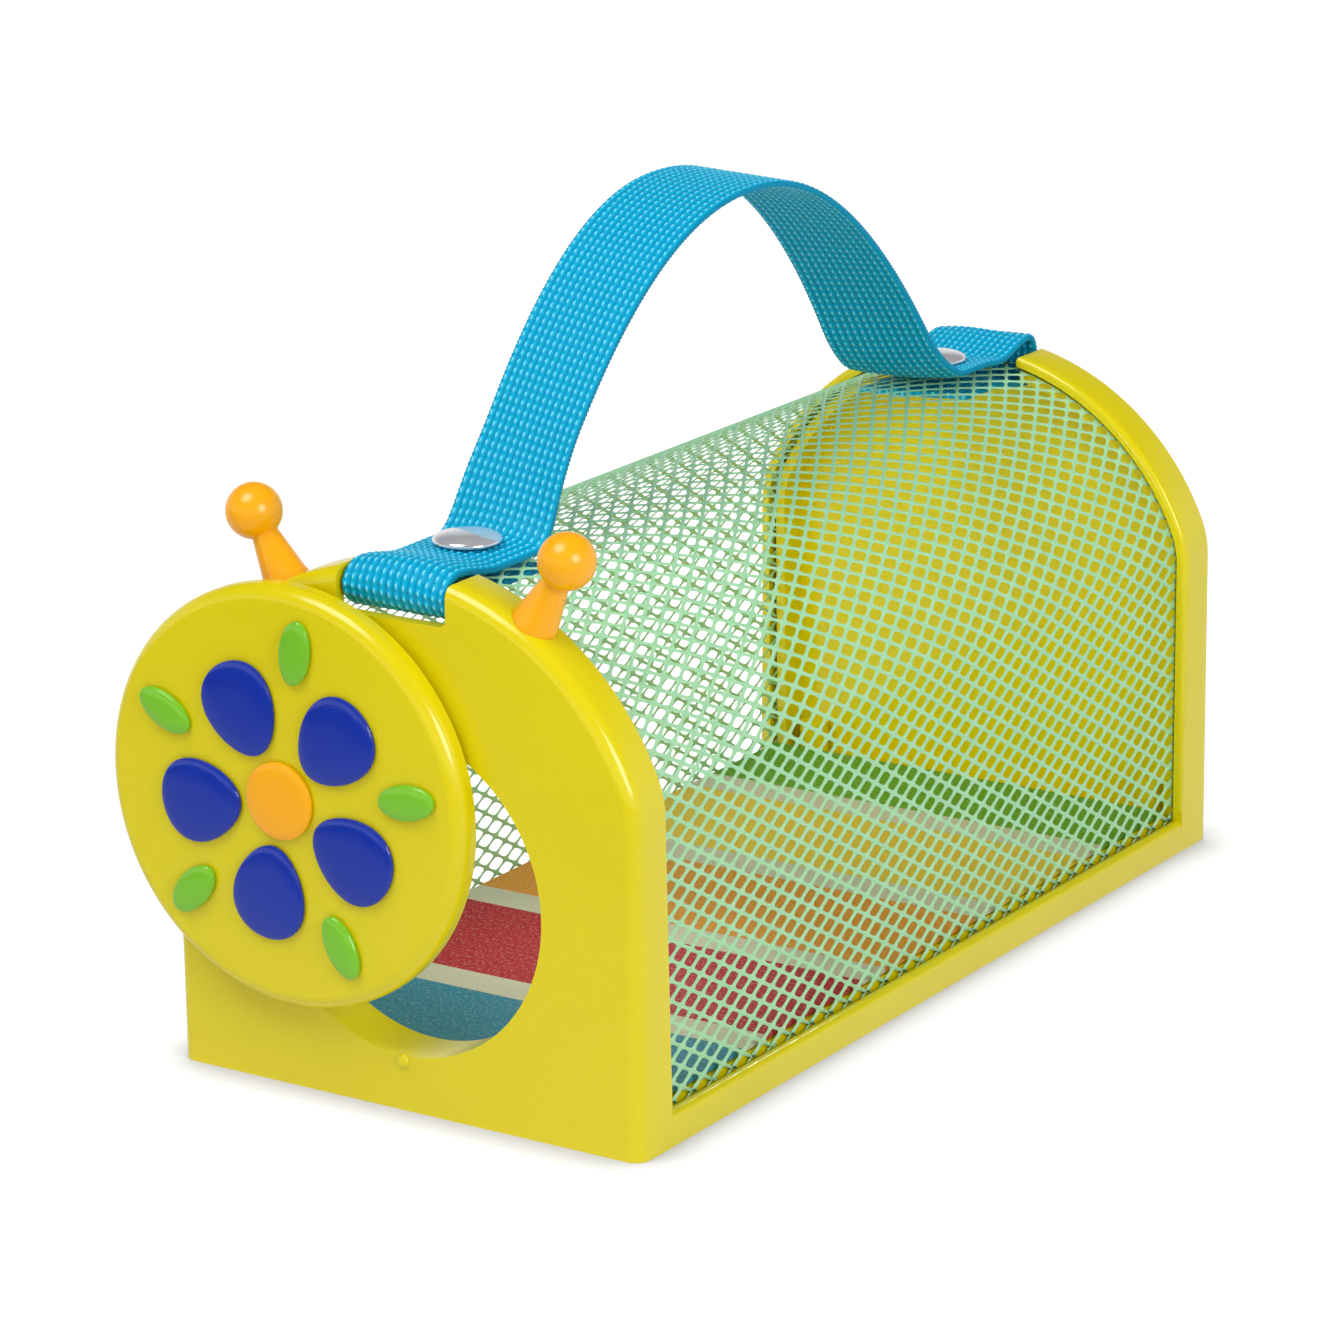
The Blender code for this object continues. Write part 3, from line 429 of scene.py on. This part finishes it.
bump = [(0, -wall_middle), (0.0014, -wall_middle), (0.0014, 0.0002), (0.0011, 0.0006), (0.0005, 0.0008), (0, 0.0008)]
combine(front_end, turned(bump, 16, catch), "UNION")
seats = []
for tilt in (-antenna_tilt, antenna_tilt):
    seat = Vector((arch_radius * math.sin(tilt), front + antenna_depth, arch_centre + arch_radius * math.cos(tilt)))
    socket = Matrix.Translation(seat) @ Matrix.Rotation(tilt, 4, "Y")
    combine(front_end, turned(rod(antenna_bore, -socket_depth, cutter_front), 48, socket), "DIFFERENCE")
    seats.append(seat)


def meets_neighbour(middle):
    """Edges where a panel butts against the rail or holds an antenna."""
    beside_rail = middle.z < rim_start + 0.0002 and abs(middle.y) < house_end - panel_depth + 0.0005
    return beside_rail or any((middle - seat).length < antenna_foot + 0.0012 for seat in seats)


moulded_round = 0.0007
for name, end in ends.items():
    at_rear = name == "rear_panel"
    face, notch_half = (house_end, rear_notch) if at_rear else (front, front_notch)
    combine(end, strap_notch(face - notch_reach, notch_half), "DIFFERENCE")
    soften(end, moulded_round, meets_neighbour)
    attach(end, "house")
    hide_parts(name)


# Base tray. One more moulding in the same yellow ABS joins the two ends: a rail along each side that covers the foot
# of the mesh, a raised deck between them, and pockets and ribs underneath. Its edges are slightly rounded,
# and the rails' upper outer edges more so.
def node_copy(name, material):
    """Merged copy of a CAD node, ready for softer edges."""
    shape = bmesh.new()
    shape.from_mesh(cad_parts[name].data)
    bmesh.ops.remove_doubles(shape, verts=shape.verts, dist=weld)
    bmesh.ops.dissolve_limit(shape, angle_limit=math.radians(1), verts=shape.verts, edges=shape.edges)
    return piece(name + "_moulding", shape, material)


tray = node_copy("base_tray", yellow_abs)
brow_round = 0.0014
tray_round = 0.0006
rail_end = max(vert.co.y for vert in tray.data.vertices if abs(vert.co.x) > half_width - weld)
for vert in tray.data.vertices:
    if abs(abs(vert.co.y) - rail_end) < weld:
        vert.co.y = math.copysign(house_end - panel_depth, vert.co.y)
shape = bmesh.new()
shape.from_mesh(tray.data)
rail_top = max(vert.co.z for vert in shape.verts if abs(vert.co.x) > half_width - weld)
brows = [edge for edge in shape.edges
         if all(abs(vert.co.x) > half_width - weld and vert.co.z > rail_top - weld for vert in edge.verts)]
round_edges(shape, brows, brow_round, 5)
shape.to_mesh(tray.data)
shape.free()
soften(tray, tray_round, lambda middle: rail_end < abs(middle.y) < rail_end + 0.001)
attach(tray, "house")
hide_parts("base_tray")


# Floor sheet. A sheet of fibreboard lies on the deck, printed with broad stripes across the house.
# The print is matt, and the board's pale fibres show through it as fine flecks along the house.
printed_board, tree, shader = surface("printed_fibreboard")
spot = add(tree, "ShaderNodeTexCoord", {}).outputs["Object"]
along = add(tree, "ShaderNodeSeparateXYZ", {"Vector": spot}).outputs["Y"]
print_half = 0.1
place = add(tree, "ShaderNodeMapRange", {0: along, 1: -print_half, 2: print_half})
stripes = add(tree, "ShaderNodeValToRGB", {"Fac": place.outputs[0]})
stripes.color_ramp.interpolation = "CONSTANT"
bands = ((-print_half, "2C86A2"), (-0.0695, "CECAB0"), (-0.0605, "B41C24"), (-0.0255, "CECAB0"),
         (-0.0165, "E0962C"), (0.0185, "CECAB0"), (0.0275, "E4C43C"), (0.0625, "CECAB0"), (0.0715, "62A01C"))
for number, (start, colour) in enumerate(bands):
    share = (start + print_half) / (2 * print_half)
    stop = stripes.color_ramp.elements[0] if number == 0 else stripes.color_ramp.elements.new(share)
    stop.position = share
    stop.color = linear(colour)
stripes.color_ramp.elements.remove(stripes.color_ramp.elements[-1])
stretched = add(tree, "ShaderNodeVectorMath", {0: spot, 1: (1.0, 0.5, 1.0)}, operation="MULTIPLY").outputs[0]
fibre = add(tree, "ShaderNodeTexNoise", {"Vector": stretched, "Scale": 1 / 0.0005, "Detail": 4.0}).outputs["Fac"]
bare = add(tree, "ShaderNodeMapRange", {0: fibre, 1: 0.5, 2: 0.8, 3: 0.0, 4: 0.35}).outputs[0]
printed = add(tree, "ShaderNodeMix", {0: bare, 6: stripes.outputs["Color"], 7: linear("E6E2DA")}, data_type="RGBA")
tree.links.new(printed.outputs[2], shader.inputs["Base Color"])
grain = add(tree, "ShaderNodeBump", {"Height": fibre, "Strength": 0.35, "Distance": 0.0003})
tree.links.new(grain.outputs[0], shader.inputs["Normal"])
shader.inputs["Roughness"].default_value = 0.62
shader.inputs["Specular IOR Level"].default_value = 0.2
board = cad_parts["floor_sheet"]
board.data.materials.clear()
board.data.materials.append(printed_board)


# Mesh cover. One sheet of expanded metal, slit and stretched into diamonds, rolled flat, coated in light green and bent
# over the house. Its edges sit in the channels of the two ends and behind the rails. The coating rounds its holes.
cover_outside = 0.0025
cover_inside = 0.0035
cover_foot = inner_foot
cover_end = 0.1054
cover_middle = (cover_outside + cover_inside) / 2
strand = 0.00082
half_thick = 0.00016
lean = 0.12
side_length = shoulder_centre - cover_foot
shoulder_length = (math.pi / 2 - arch_half_turn) * (shoulder_round - cover_middle)
arch_length = arch_half_turn * (arch_radius - cover_middle)
half_length = side_length + shoulder_length + arch_length
rows_round = 130
columns = 61
pitch_along = 2 * cover_end / columns
pitch_round = 2 * half_length / rows_round


def over_house(way, y, inset):
    """Point of the cover at a distance from its crown towards a rail: the right one or, below 0, the left one."""
    side = math.copysign(1, way)
    if abs(way) < arch_length:
        turn = abs(way) / arch_length * arch_half_turn
        radius = arch_radius - inset
        return (side * radius * math.sin(turn), y, arch_centre + radius * math.cos(turn))
    if abs(way) < arch_length + shoulder_length:
        turn = arch_half_turn + (abs(way) - arch_length) / shoulder_length * (math.pi / 2 - arch_half_turn)
        radius = shoulder_round - inset
        return (side * (shoulder_reach + radius * math.sin(turn)), y, shoulder_centre + radius * math.cos(turn))
    return (side * (half_width - inset), y, shoulder_centre - (abs(way) - arch_length - shoulder_length))


# One diamond: its edge runs down the middle of the strands, and its hole has rounded corners. The strands lean a little
# to the front over the arch, twice as much on the right wall, where the holes look narrower, and not on the left one.
shape = bmesh.new()
bmesh.ops.create_circle(shape, segments=4, radius=1)
bmesh.ops.scale(shape, vec=(pitch_along, pitch_round, 1), verts=shape.verts)
bmesh.ops.subdivide_edges(shape, edges=shape.edges[:], cuts=2)
bmesh.ops.contextual_create(shape, geom=shape.edges[:])
shape.normal_update()
bmesh.ops.inset_region(shape, faces=shape.faces[:], thickness=strand / 2, use_even_offset=True, use_boundary=True)
middle = max(shape.faces, key=lambda face: len(face.verts))
rim = middle.verts[:]
bmesh.ops.delete(shape, geom=[middle], context="FACES_ONLY")
for _ in range(2):
    bmesh.ops.smooth_vert(shape, verts=rim, factor=0.5, use_axis_x=True, use_axis_y=True)
for vert in rim:
    strand_middle = pitch_along * (1 - abs(vert.co.y) / pitch_round)
    vert.co.z = lean * (vert.co.x - math.copysign(strand_middle, vert.co.x)) if abs(vert.co.x) > weld else 0.0
ridge = [vert for vert in shape.verts if vert not in rim]
under = bmesh.ops.duplicate(shape, geom=everything(shape))
lower = [under["vert_map"][vert] for vert in ridge]
for vert in ridge:
    vert.co.z = half_thick
for vert in lower:
    vert.co.z = -half_thick
bmesh.ops.remove_doubles(shape, verts=shape.verts, dist=weld)

# The diamond next to it, half a diamond on, and then all of them
second = bmesh.ops.duplicate(shape, geom=everything(shape))
bmesh.ops.translate(shape, vec=(pitch_along, pitch_round, 0), verts=verts_of(second["geom"]))
bmesh.ops.spin(shape, geom=everything(shape), angle=0, steps=(columns - 3) // 2, dvec=(2 * pitch_along, 0, 0),
               use_duplicate=True)
bmesh.ops.remove_doubles(shape, verts=shape.verts, dist=weld)
bmesh.ops.spin(shape, geom=everything(shape), angle=0, steps=rows_round // 2 - 2, dvec=(0, 2 * pitch_round, 0),
               use_duplicate=True)
bmesh.ops.remove_doubles(shape, verts=shape.verts, dist=weld)
low_x = min(vert.co.x for vert in shape.verts)
low_y = min(vert.co.y for vert in shape.verts)
for edge in shape.edges:
    if edge.is_boundary:
        for vert in edge.verts:
            vert.co.z = 0
bmesh.ops.remove_doubles(shape, verts=shape.verts, dist=weld)
for vert in shape.verts:
    way = vert.co.y - low_y - half_length
    on_wall = math.copysign(min(abs(way) / (arch_length + shoulder_length), 1.0) ** 4, way)
    depth = vert.co.z * (1 + on_wall) if abs(vert.co.z) < half_thick - hair else vert.co.z
    vert.co = over_house(way, vert.co.x - low_x - cover_end, cover_middle - depth)

green_mesh, tree, shader = surface("green_coated_steel_mesh")
spot = add(tree, "ShaderNodeTexCoord", {}).outputs["Object"]
thick = add(tree, "ShaderNodeTexNoise", {"Vector": spot, "Scale": 1 / 0.006, "Detail": 3.0}).outputs["Fac"]
coat = add(tree, "ShaderNodeValToRGB", {"Fac": thick})
coat.color_ramp.elements[0].color = linear("9CD6A4")
coat.color_ramp.elements[1].color = linear("B2E4B4")
tree.links.new(coat.outputs["Color"], shader.inputs["Base Color"])
shader.inputs["Roughness"].default_value = 0.38
mesh_sheet = piece("mesh_sheet", shape, green_mesh, 60)
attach(mesh_sheet, "house")
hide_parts(*[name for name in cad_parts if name.startswith("mesh_")])


# Carry strap. A length of woven webbing in cyan blue polypropylene: each end runs through the notch of its panel,
# folds back under the mesh and is riveted through both layers, and the middle stands up in an arch as a handle.
strap_half = 0.0115
strap_thick = 0.0014
strap_middle = 0.1035
tail_middle = 0.09893
fold_setback = 0.0007
rivet_inset = 0.0245
rivet_radius = 0.0066
tail_length = 0.009
tail_flat = 0.005
handle_rise = 0.0541
handle_power = 2.13
peak = -0.0029
front_foot, front_blend = 0.0024, 0.005
rear_foot, rear_blend = 0.0101, 0.012
front_fold = (0.1052, 0.0962, 0.0046)
rear_fold = (0.1066, 0.09683, 0.0026)


def ease(share):
    """Smooth step from 0 to 1."""
    share = min(max(share, 0.0), 1.0)
    return share * share * (3 - 2 * share)


def handle_height(y):
    """How far the handle stands above the flat runs of the strap."""
    reach = house_end - rivet_inset - rivet_radius
    foot, blend = (front_foot - reach, front_blend) if y < peak else (reach - rear_foot, rear_blend)
    rise = handle_rise * (1 - abs((y - peak) / (foot - peak)) ** handle_power)
    if rise <= -blend:
        return 0.0
    return rise if rise >= blend else (rise + blend) ** 2 / (4 * blend)


def strap_end(fold_top, fold_bottom, fold_reach):
    """Line of a strap end from its tail round the fold to the rivet: distances from the panel's face, and heights."""
    fold_place = fold_setback + strap_thick / 2 + fold_reach
    tail_start = rivet_inset - tail_flat
    line = [(rivet_inset + tail_length, tail_middle), (tail_start, tail_middle)]
    for step in range(1, 5):
        sink = ease(step / 5) * (tail_middle - fold_bottom)
        line.append((tail_start + step / 5 * (fold_place - tail_start), tail_middle - sink))
    for step in range(17):
        turn = math.pi * step / 16
        height = fold_bottom + (fold_top - fold_bottom) * (1 - math.cos(turn)) / 2
        line.append((fold_place - fold_reach * math.sin(turn), height))
    rivet_edge = rivet_inset - rivet_radius
    for step in range(1, 9):
        sink = ease(step / 8) * (fold_top - strap_middle)
        line.append((fold_place + step / 8 * (rivet_edge - fold_place), fold_top - sink))
    return line


route = [Vector((0, front + distance, height)) for distance, height in strap_end(*front_fold)]
lift = rivet_inset + rivet_radius - house_end
for step in range(101):
    y = lift * (1 - step / 50)
    route.append(Vector((0, y, strap_middle + handle_height(y))))
route += [Vector((0, house_end - distance, height)) for distance, height in reversed(strap_end(*rear_fold))]
lengths = [0.0]
for near, far in zip(route, route[1:]):
    lengths.append(lengths[-1] + (far - near).length)
ways = [(route[min(i + 1, len(route) - 1)] - route[max(i - 1, 0)]).normalized() for i in range(len(route))]


def on_route(distance):
    """Point of the strap's middle line at a distance along it, and the way it runs there."""
    number = min(max(bisect.bisect_left(lengths, distance), 1), len(route) - 1)
    share = (distance - lengths[number - 1]) / (lengths[number] - lengths[number - 1])
    way = ways[number - 1].lerp(ways[number], share).normalized()
    return route[number - 1].lerp(route[number], share), way


front_twist, front_curl = 0.002, -0.0012
rear_twist, rear_curl = 0.003, 0.0009
rear_fall_right, rear_fall_left = 0.0009, 0.0017
handle_tip = 0.0005


def hung(point, across):
    """Point moved as the webbing hangs: the handle twists, and its edges lie down in front and curl up at the rear."""
    in_handle = abs(point.y) < house_end - rivet_inset
    rise = max(point.z - strap_middle, 0.0) if in_handle else 0.0
    flat = ease((point.z - tail_middle) / (strap_middle - tail_middle)) * (1 - ease(rise / 0.012))
    tip = handle_tip * (1 - across) * (rise / handle_rise) ** 2
    if point.y < 0:
        twist = front_twist * ease(rise / 0.02) * across * point.y / 0.06
        curl = front_curl
    else:
        twist = rear_twist * across * (point.y / 0.068) ** 3 * (1 - ease((point.y - 0.07) / 0.015))
        beyond_rivet = ease((point.y - house_end + rivet_inset) / 0.012)
        curl = rear_curl - beyond_rivet * (rear_fall_right if across > 0 else rear_fall_left)
    return point + Vector((0, twist, tip + curl * flat * across * across))


# The weave: warp threads float over the weft as short dashes along the strap, in slightly slanting rows across it.
# The count of threads and of rows is kept as an attribute, so that the colour follows the weave: the thread's cyan,
# with a painted highlight pale on each float's middle and painted shade dark round its edges.
thread_columns = 14
steps_across = 4
row_length = 0.0019
row_steps = 4
row_slant = 0.09
float_height = 0.0004
edge_rib = 0.0001
rows = round(lengths[-1] / row_length)
shape = bmesh.new()
corners = [shape.verts.new((x, 0, z)) for x, z in ((-1, -1), (1, -1), (1, 1), (-1, 1))]
sides = [shape.edges.new((corners[i - 1], corners[i])) for i in range(4)]
bmesh.ops.subdivide_edges(shape, edges=[sides[1], sides[3]], cuts=steps_across * thread_columns - 1)
bmesh.ops.subdivide_edges(shape, edges=[sides[0], sides[2]], cuts=1)
ring = shape.verts[:] + shape.edges[:]
bmesh.ops.contextual_create(shape, geom=shape.edges[:])
tube = bmesh.ops.spin(shape, geom=ring, angle=0, steps=row_steps * rows, dvec=(0, 1, 0))
last_edges = [part for part in tube["geom_last"] if isinstance(part, bmesh.types.BMEdge)]
bmesh.ops.contextual_create(shape, geom=last_edges)
weave = shape.verts.layers.float_vector.new("weave")
for vert in shape.verts:
    column = (vert.co.x + 1) / 2 * thread_columns
    row = vert.co.y / row_steps + row_slant * column + (0.0 if vert.co.z > 0 else 0.5)
    vert[weave] = (column, row, 0.5)
    crest = math.sin(math.pi * (column % 1)) * (0.5 - 0.5 * math.cos(2 * math.pi * row))
    point, way = on_route(vert.co.y / (row_steps * rows) * lengths[-1])
    away = Vector((0, -way.z, way.y))
    edge = abs(vert.co.x) > 0.999
    rib = edge_rib * math.cos(math.pi * vert.co.y) if edge else 0.0
    height = vert.co.z * (strap_thick / 2 - float_height * (0.6 if edge else 0.7 - crest))
    vert.co = hung(point, vert.co.x) + away * height + Vector((vert.co.x * (strap_half + rib), 0, 0))

webbing, tree, shader = surface("woven_blue_polypropylene")
counts = add(tree, "ShaderNodeAttribute", {}, attribute_name="weave").outputs["Vector"]
cell = add(tree, "ShaderNodeVectorMath", {0: counts}, operation="FRACTION").outputs[0]
from_middle = add(tree, "ShaderNodeVectorMath", {0: cell, 1: (0.5, 0.5, 0.5)}, operation="SUBTRACT").outputs[0]
oval = add(tree, "ShaderNodeVectorMath", {0: from_middle, 1: (1.0, 0.48, 0.0)}, operation="MULTIPLY").outputs[0]
away_from_float = add(tree, "ShaderNodeVectorMath", {0: oval}, operation="LENGTH").outputs["Value"]
# Painted light in the ramp: pale 7CDCF4 in each float's middle is a painted highlight, dark 0092BA round it is painted
# shade, and 00B4E0 between them is the thread's own cyan
dye_and_painted_light = add(tree, "ShaderNodeValToRGB", {"Fac": away_from_float})
dye_and_painted_light.color_ramp.elements[0].position = 0.09
dye_and_painted_light.color_ramp.elements[0].color = linear("7CDCF4")
dye_and_painted_light.color_ramp.elements[1].position = 0.5
dye_and_painted_light.color_ramp.elements[1].color = linear("0092BA")
thread = dye_and_painted_light.color_ramp.elements.new(0.16)
thread.color = linear("00B4E0")
tree.links.new(dye_and_painted_light.outputs["Color"], shader.inputs["Base Color"])
spot = add(tree, "ShaderNodeTexCoord", {}).outputs["Object"]
yarn = add(tree, "ShaderNodeTexNoise", {"Vector": spot, "Scale": 1 / 0.0004, "Detail": 3.0}).outputs["Fac"]
fuzz = add(tree, "ShaderNodeBump", {"Height": yarn, "Strength": 0.25, "Distance": 0.0001})
tree.links.new(fuzz.outputs[0], shader.inputs["Normal"])
shader.inputs["Roughness"].default_value = 0.4
shader.inputs["Specular IOR Level"].default_value = 0.12
strap = piece("strap_webbing", shape, webbing, 80)
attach(strap, "house")
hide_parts("carry_strap")


# Rivets. A pair of two-piece rivets holds the strap's ends: a pressed, domed cap of polished nickel-plated steel
# on top, and a flat back under the tail of the strap, inside the house.
nickel, tree, shader = surface("polished_nickel_plated_steel")
spot = add(tree, "ShaderNodeTexCoord", {}).outputs["Object"]
haze = add(tree, "ShaderNodeTexNoise", {"Vector": spot, "Scale": 1 / 0.0015, "Detail": 4.0}).outputs["Fac"]
polish = add(tree, "ShaderNodeMapRange", {0: haze, 3: 0.1, 4: 0.2})
tree.links.new(polish.outputs[0], shader.inputs["Roughness"])
shader.inputs["Base Color"].default_value = linear("EDEDF0")
shader.inputs["Metallic"].default_value = 0.6
gap = 0.0003
cap_seat = strap_middle + strap_thick / 2 + gap
stem_radius = 0.0016
stem_depth = 0.001
cap_edge = 0.0004
cap_rise = 0.0016
cap_height = 0.002
back_round = 0.0002
for name, y in (("front_rivet", front + rivet_inset), ("rear_rivet", house_end - rivet_inset)):
    dome = [(0, cap_seat - stem_depth), (stem_radius, cap_seat - stem_depth), (stem_radius, cap_seat),
            (rivet_radius - 0.0003, cap_seat)]
    for step in range(13):
        turn = math.pi / 2 * step / 12
        dome.append((rivet_radius * math.cos(turn) ** 0.8, cap_seat + cap_edge + cap_rise * math.sin(turn)))
    dome[-1] = (0, cap_seat + cap_height)
    cap = piece(name + "_dome", turned(dome, 48, Matrix.Translation((0, y, 0))), nickel)
    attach(cap, "house")
    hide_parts(name + "_cap")
    back = node_copy(name + "_back", nickel)
    soften(back, back_round)
    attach(back, "house")
    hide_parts(name + "_back")


# Antennae. Two pegs moulded in glossy orange ABS, each a tapered stem with a ball on its end.
# They plug into sockets in the front rim.
orange_abs = moulded_abs("moulded_orange_abs", "FFAC00", "FFB606", 0.24)
ball_radius = 0.0054
ball_height = 0.0143
neck_radius = 0.0026
spigot_depth = 0.0013
neck = math.asin(neck_radius / ball_radius)
peg = [(0, -spigot_depth), (antenna_foot, -spigot_depth), (antenna_foot, 0.0003), (antenna_foot - 0.0003, 0.0012),
       (neck_radius, ball_height - ball_radius * math.cos(neck) - 0.0002)]
for step in range(25):
    turn = neck + (math.pi - neck) * step / 24
    peg.append((ball_radius * math.sin(turn), ball_height - ball_radius * math.cos(turn)))
peg[-1] = (0, ball_height + ball_radius)
for name, seat, tilt in (("antenna_left", seats[0], -antenna_tilt), ("antenna_right", seats[1], antenna_tilt)):
    place = Matrix.Translation(seat) @ Matrix.Rotation(tilt, 4, "Y")
    antenna = piece(name + "_peg", turned(peg, 48, place), orange_abs, 40)
    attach(antenna, "house")
    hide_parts(name)


# Door. A shallow round dish in the same yellow ABS, open behind, hangs from a post that turns in the front wall.
# It is swung open to the left. A washer and a screw behind the wall keep the post in its hole.
door_radius = 0.0409
door_back = 0.0011
door_front = 0.0061
door_drop = 0.0308
door_wall = 0.002
door_face = 0.0022
door_round = 0.003
door_edge = 0.0003
open_angle = math.radians(45.3)
hinge = Matrix.Translation((0, front, pivot_height)) @ Matrix.Rotation(open_angle, 4, "Y")
door_middle = hinge @ Matrix.Translation((0, 0, -door_drop)) @ facing_front
dish = [(0, door_front - door_face), (door_radius - door_wall, door_front - door_face),
        (door_radius - door_wall, door_back + door_edge), (door_radius - 0.0017, door_back),
        (door_radius - door_edge, door_back), (door_radius, door_back + door_edge)]
for step in range(13):
    turn = math.pi / 2 * step / 12
    dish.append((door_radius - door_round * (1 - math.cos(turn)), door_front - door_round * (1 - math.sin(turn))))
dish.append((0, door_front))
door = piece("door_dish", turned(dish, 128, door_middle), yellow_abs)
post = [(0, -0.0053), (0.0022, -0.0053), (0.0022, 0.0003), (0.0045, 0.0003), (0.0045, 0.005), (0, 0.005)]
combine(door, turned(post, 32, hinge @ facing_front), "UNION")
door.data.shade_smooth()
door.data.set_sharp_from_angle(angle=math.radians(30))
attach(door, "door")
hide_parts("door_disc")
fastener_round = 0.00015
for name in ("door_pivot_washer", "door_pivot_screw"):
    fastener = node_copy(name, nickel)
    soften(fastener, fastener_round)
    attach(fastener, "door")
    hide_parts(name)


# Flower. A raised flower in glossy domed drops is stuck on the door: an orange centre, five blue petals round it
# and a green leaf between each two petals.
drop_height = 0.0014
rim_share = 0.35
dome_shrink = 0.7


def drop(length, width, taper, place):
    """Egg-shaped drop along +Y, broad end outwards, with a steep rim and a domed top."""
    shape = bmesh.new()
    bmesh.ops.create_circle(shape, cap_ends=True, segments=48, radius=1)
    for vert in shape.verts:
        vert.co.x *= width / 2 * (1 + taper * vert.co.y)
        vert.co.y *= length / 2
    top = shape.faces[:][0]
    share = 1.0
    for step in range(11):
        turn = math.pi / 2 * step / 10
        grown = bmesh.ops.extrude_face_region(shape, geom=[top])["geom"]
        top = [part for part in grown if isinstance(part, bmesh.types.BMFace)][0]
        closer = 1 - dome_shrink * (1 - math.cos(turn))
        for vert in top.verts:
            vert.co.x *= closer / share
            vert.co.y *= closer / share
            vert.co.z = drop_height * (rim_share + (1 - rim_share) * math.sin(turn))
        share = closer
    bmesh.ops.transform(shape, matrix=place, verts=shape.verts)
    return shape


blue_gloss = moulded_abs("domed_blue_enamel", "0E2C9A", "1636AC", 0.14)
leaf_green = moulded_abs("domed_leaf_green_enamel", "72BC24", "84CC34", 0.14)
on_door = door_middle @ Matrix.Translation((0, 0, door_front + gap))
petal_reach = 0.0185
leaf_reach = 0.0295
drops = [("flower_centre", orange_abs, "orange_abs", drop(0.015, 0.015, 0, on_door))]
for number in range(5):
    turn = 2 * math.pi * number / 5
    spot = on_door @ Matrix.Rotation(turn, 4, "Z") @ Matrix.Translation((0, petal_reach, 0))
    drops.append((f"flower_petal_{number + 1}", blue_gloss, "blue_gloss", drop(0.0185, 0.016, 0.2, spot)))
    spot = on_door @ Matrix.Rotation(turn + math.pi / 5, 4, "Z") @ Matrix.Translation((0, leaf_reach, 0))
    drops.append((f"flower_leaf_{number + 1}", leaf_green, "leaf_green_gloss", drop(0.0125, 0.0068, 0, spot)))
for name, material, slot, shape in drops:
    made = piece(name + "_drop", shape, material, 40)
    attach(made, "door")
    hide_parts(name)


# Base screws. Four flat-headed screws of the same nickel-plated steel come up through the tray into the ends,
# with their heads sunk flush underneath.
for name in [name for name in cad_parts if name.startswith("base_screw")]:
    screw = node_copy(name, nickel)
    soften(screw, fastener_round)
    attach(screw, "house")
    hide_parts(name)
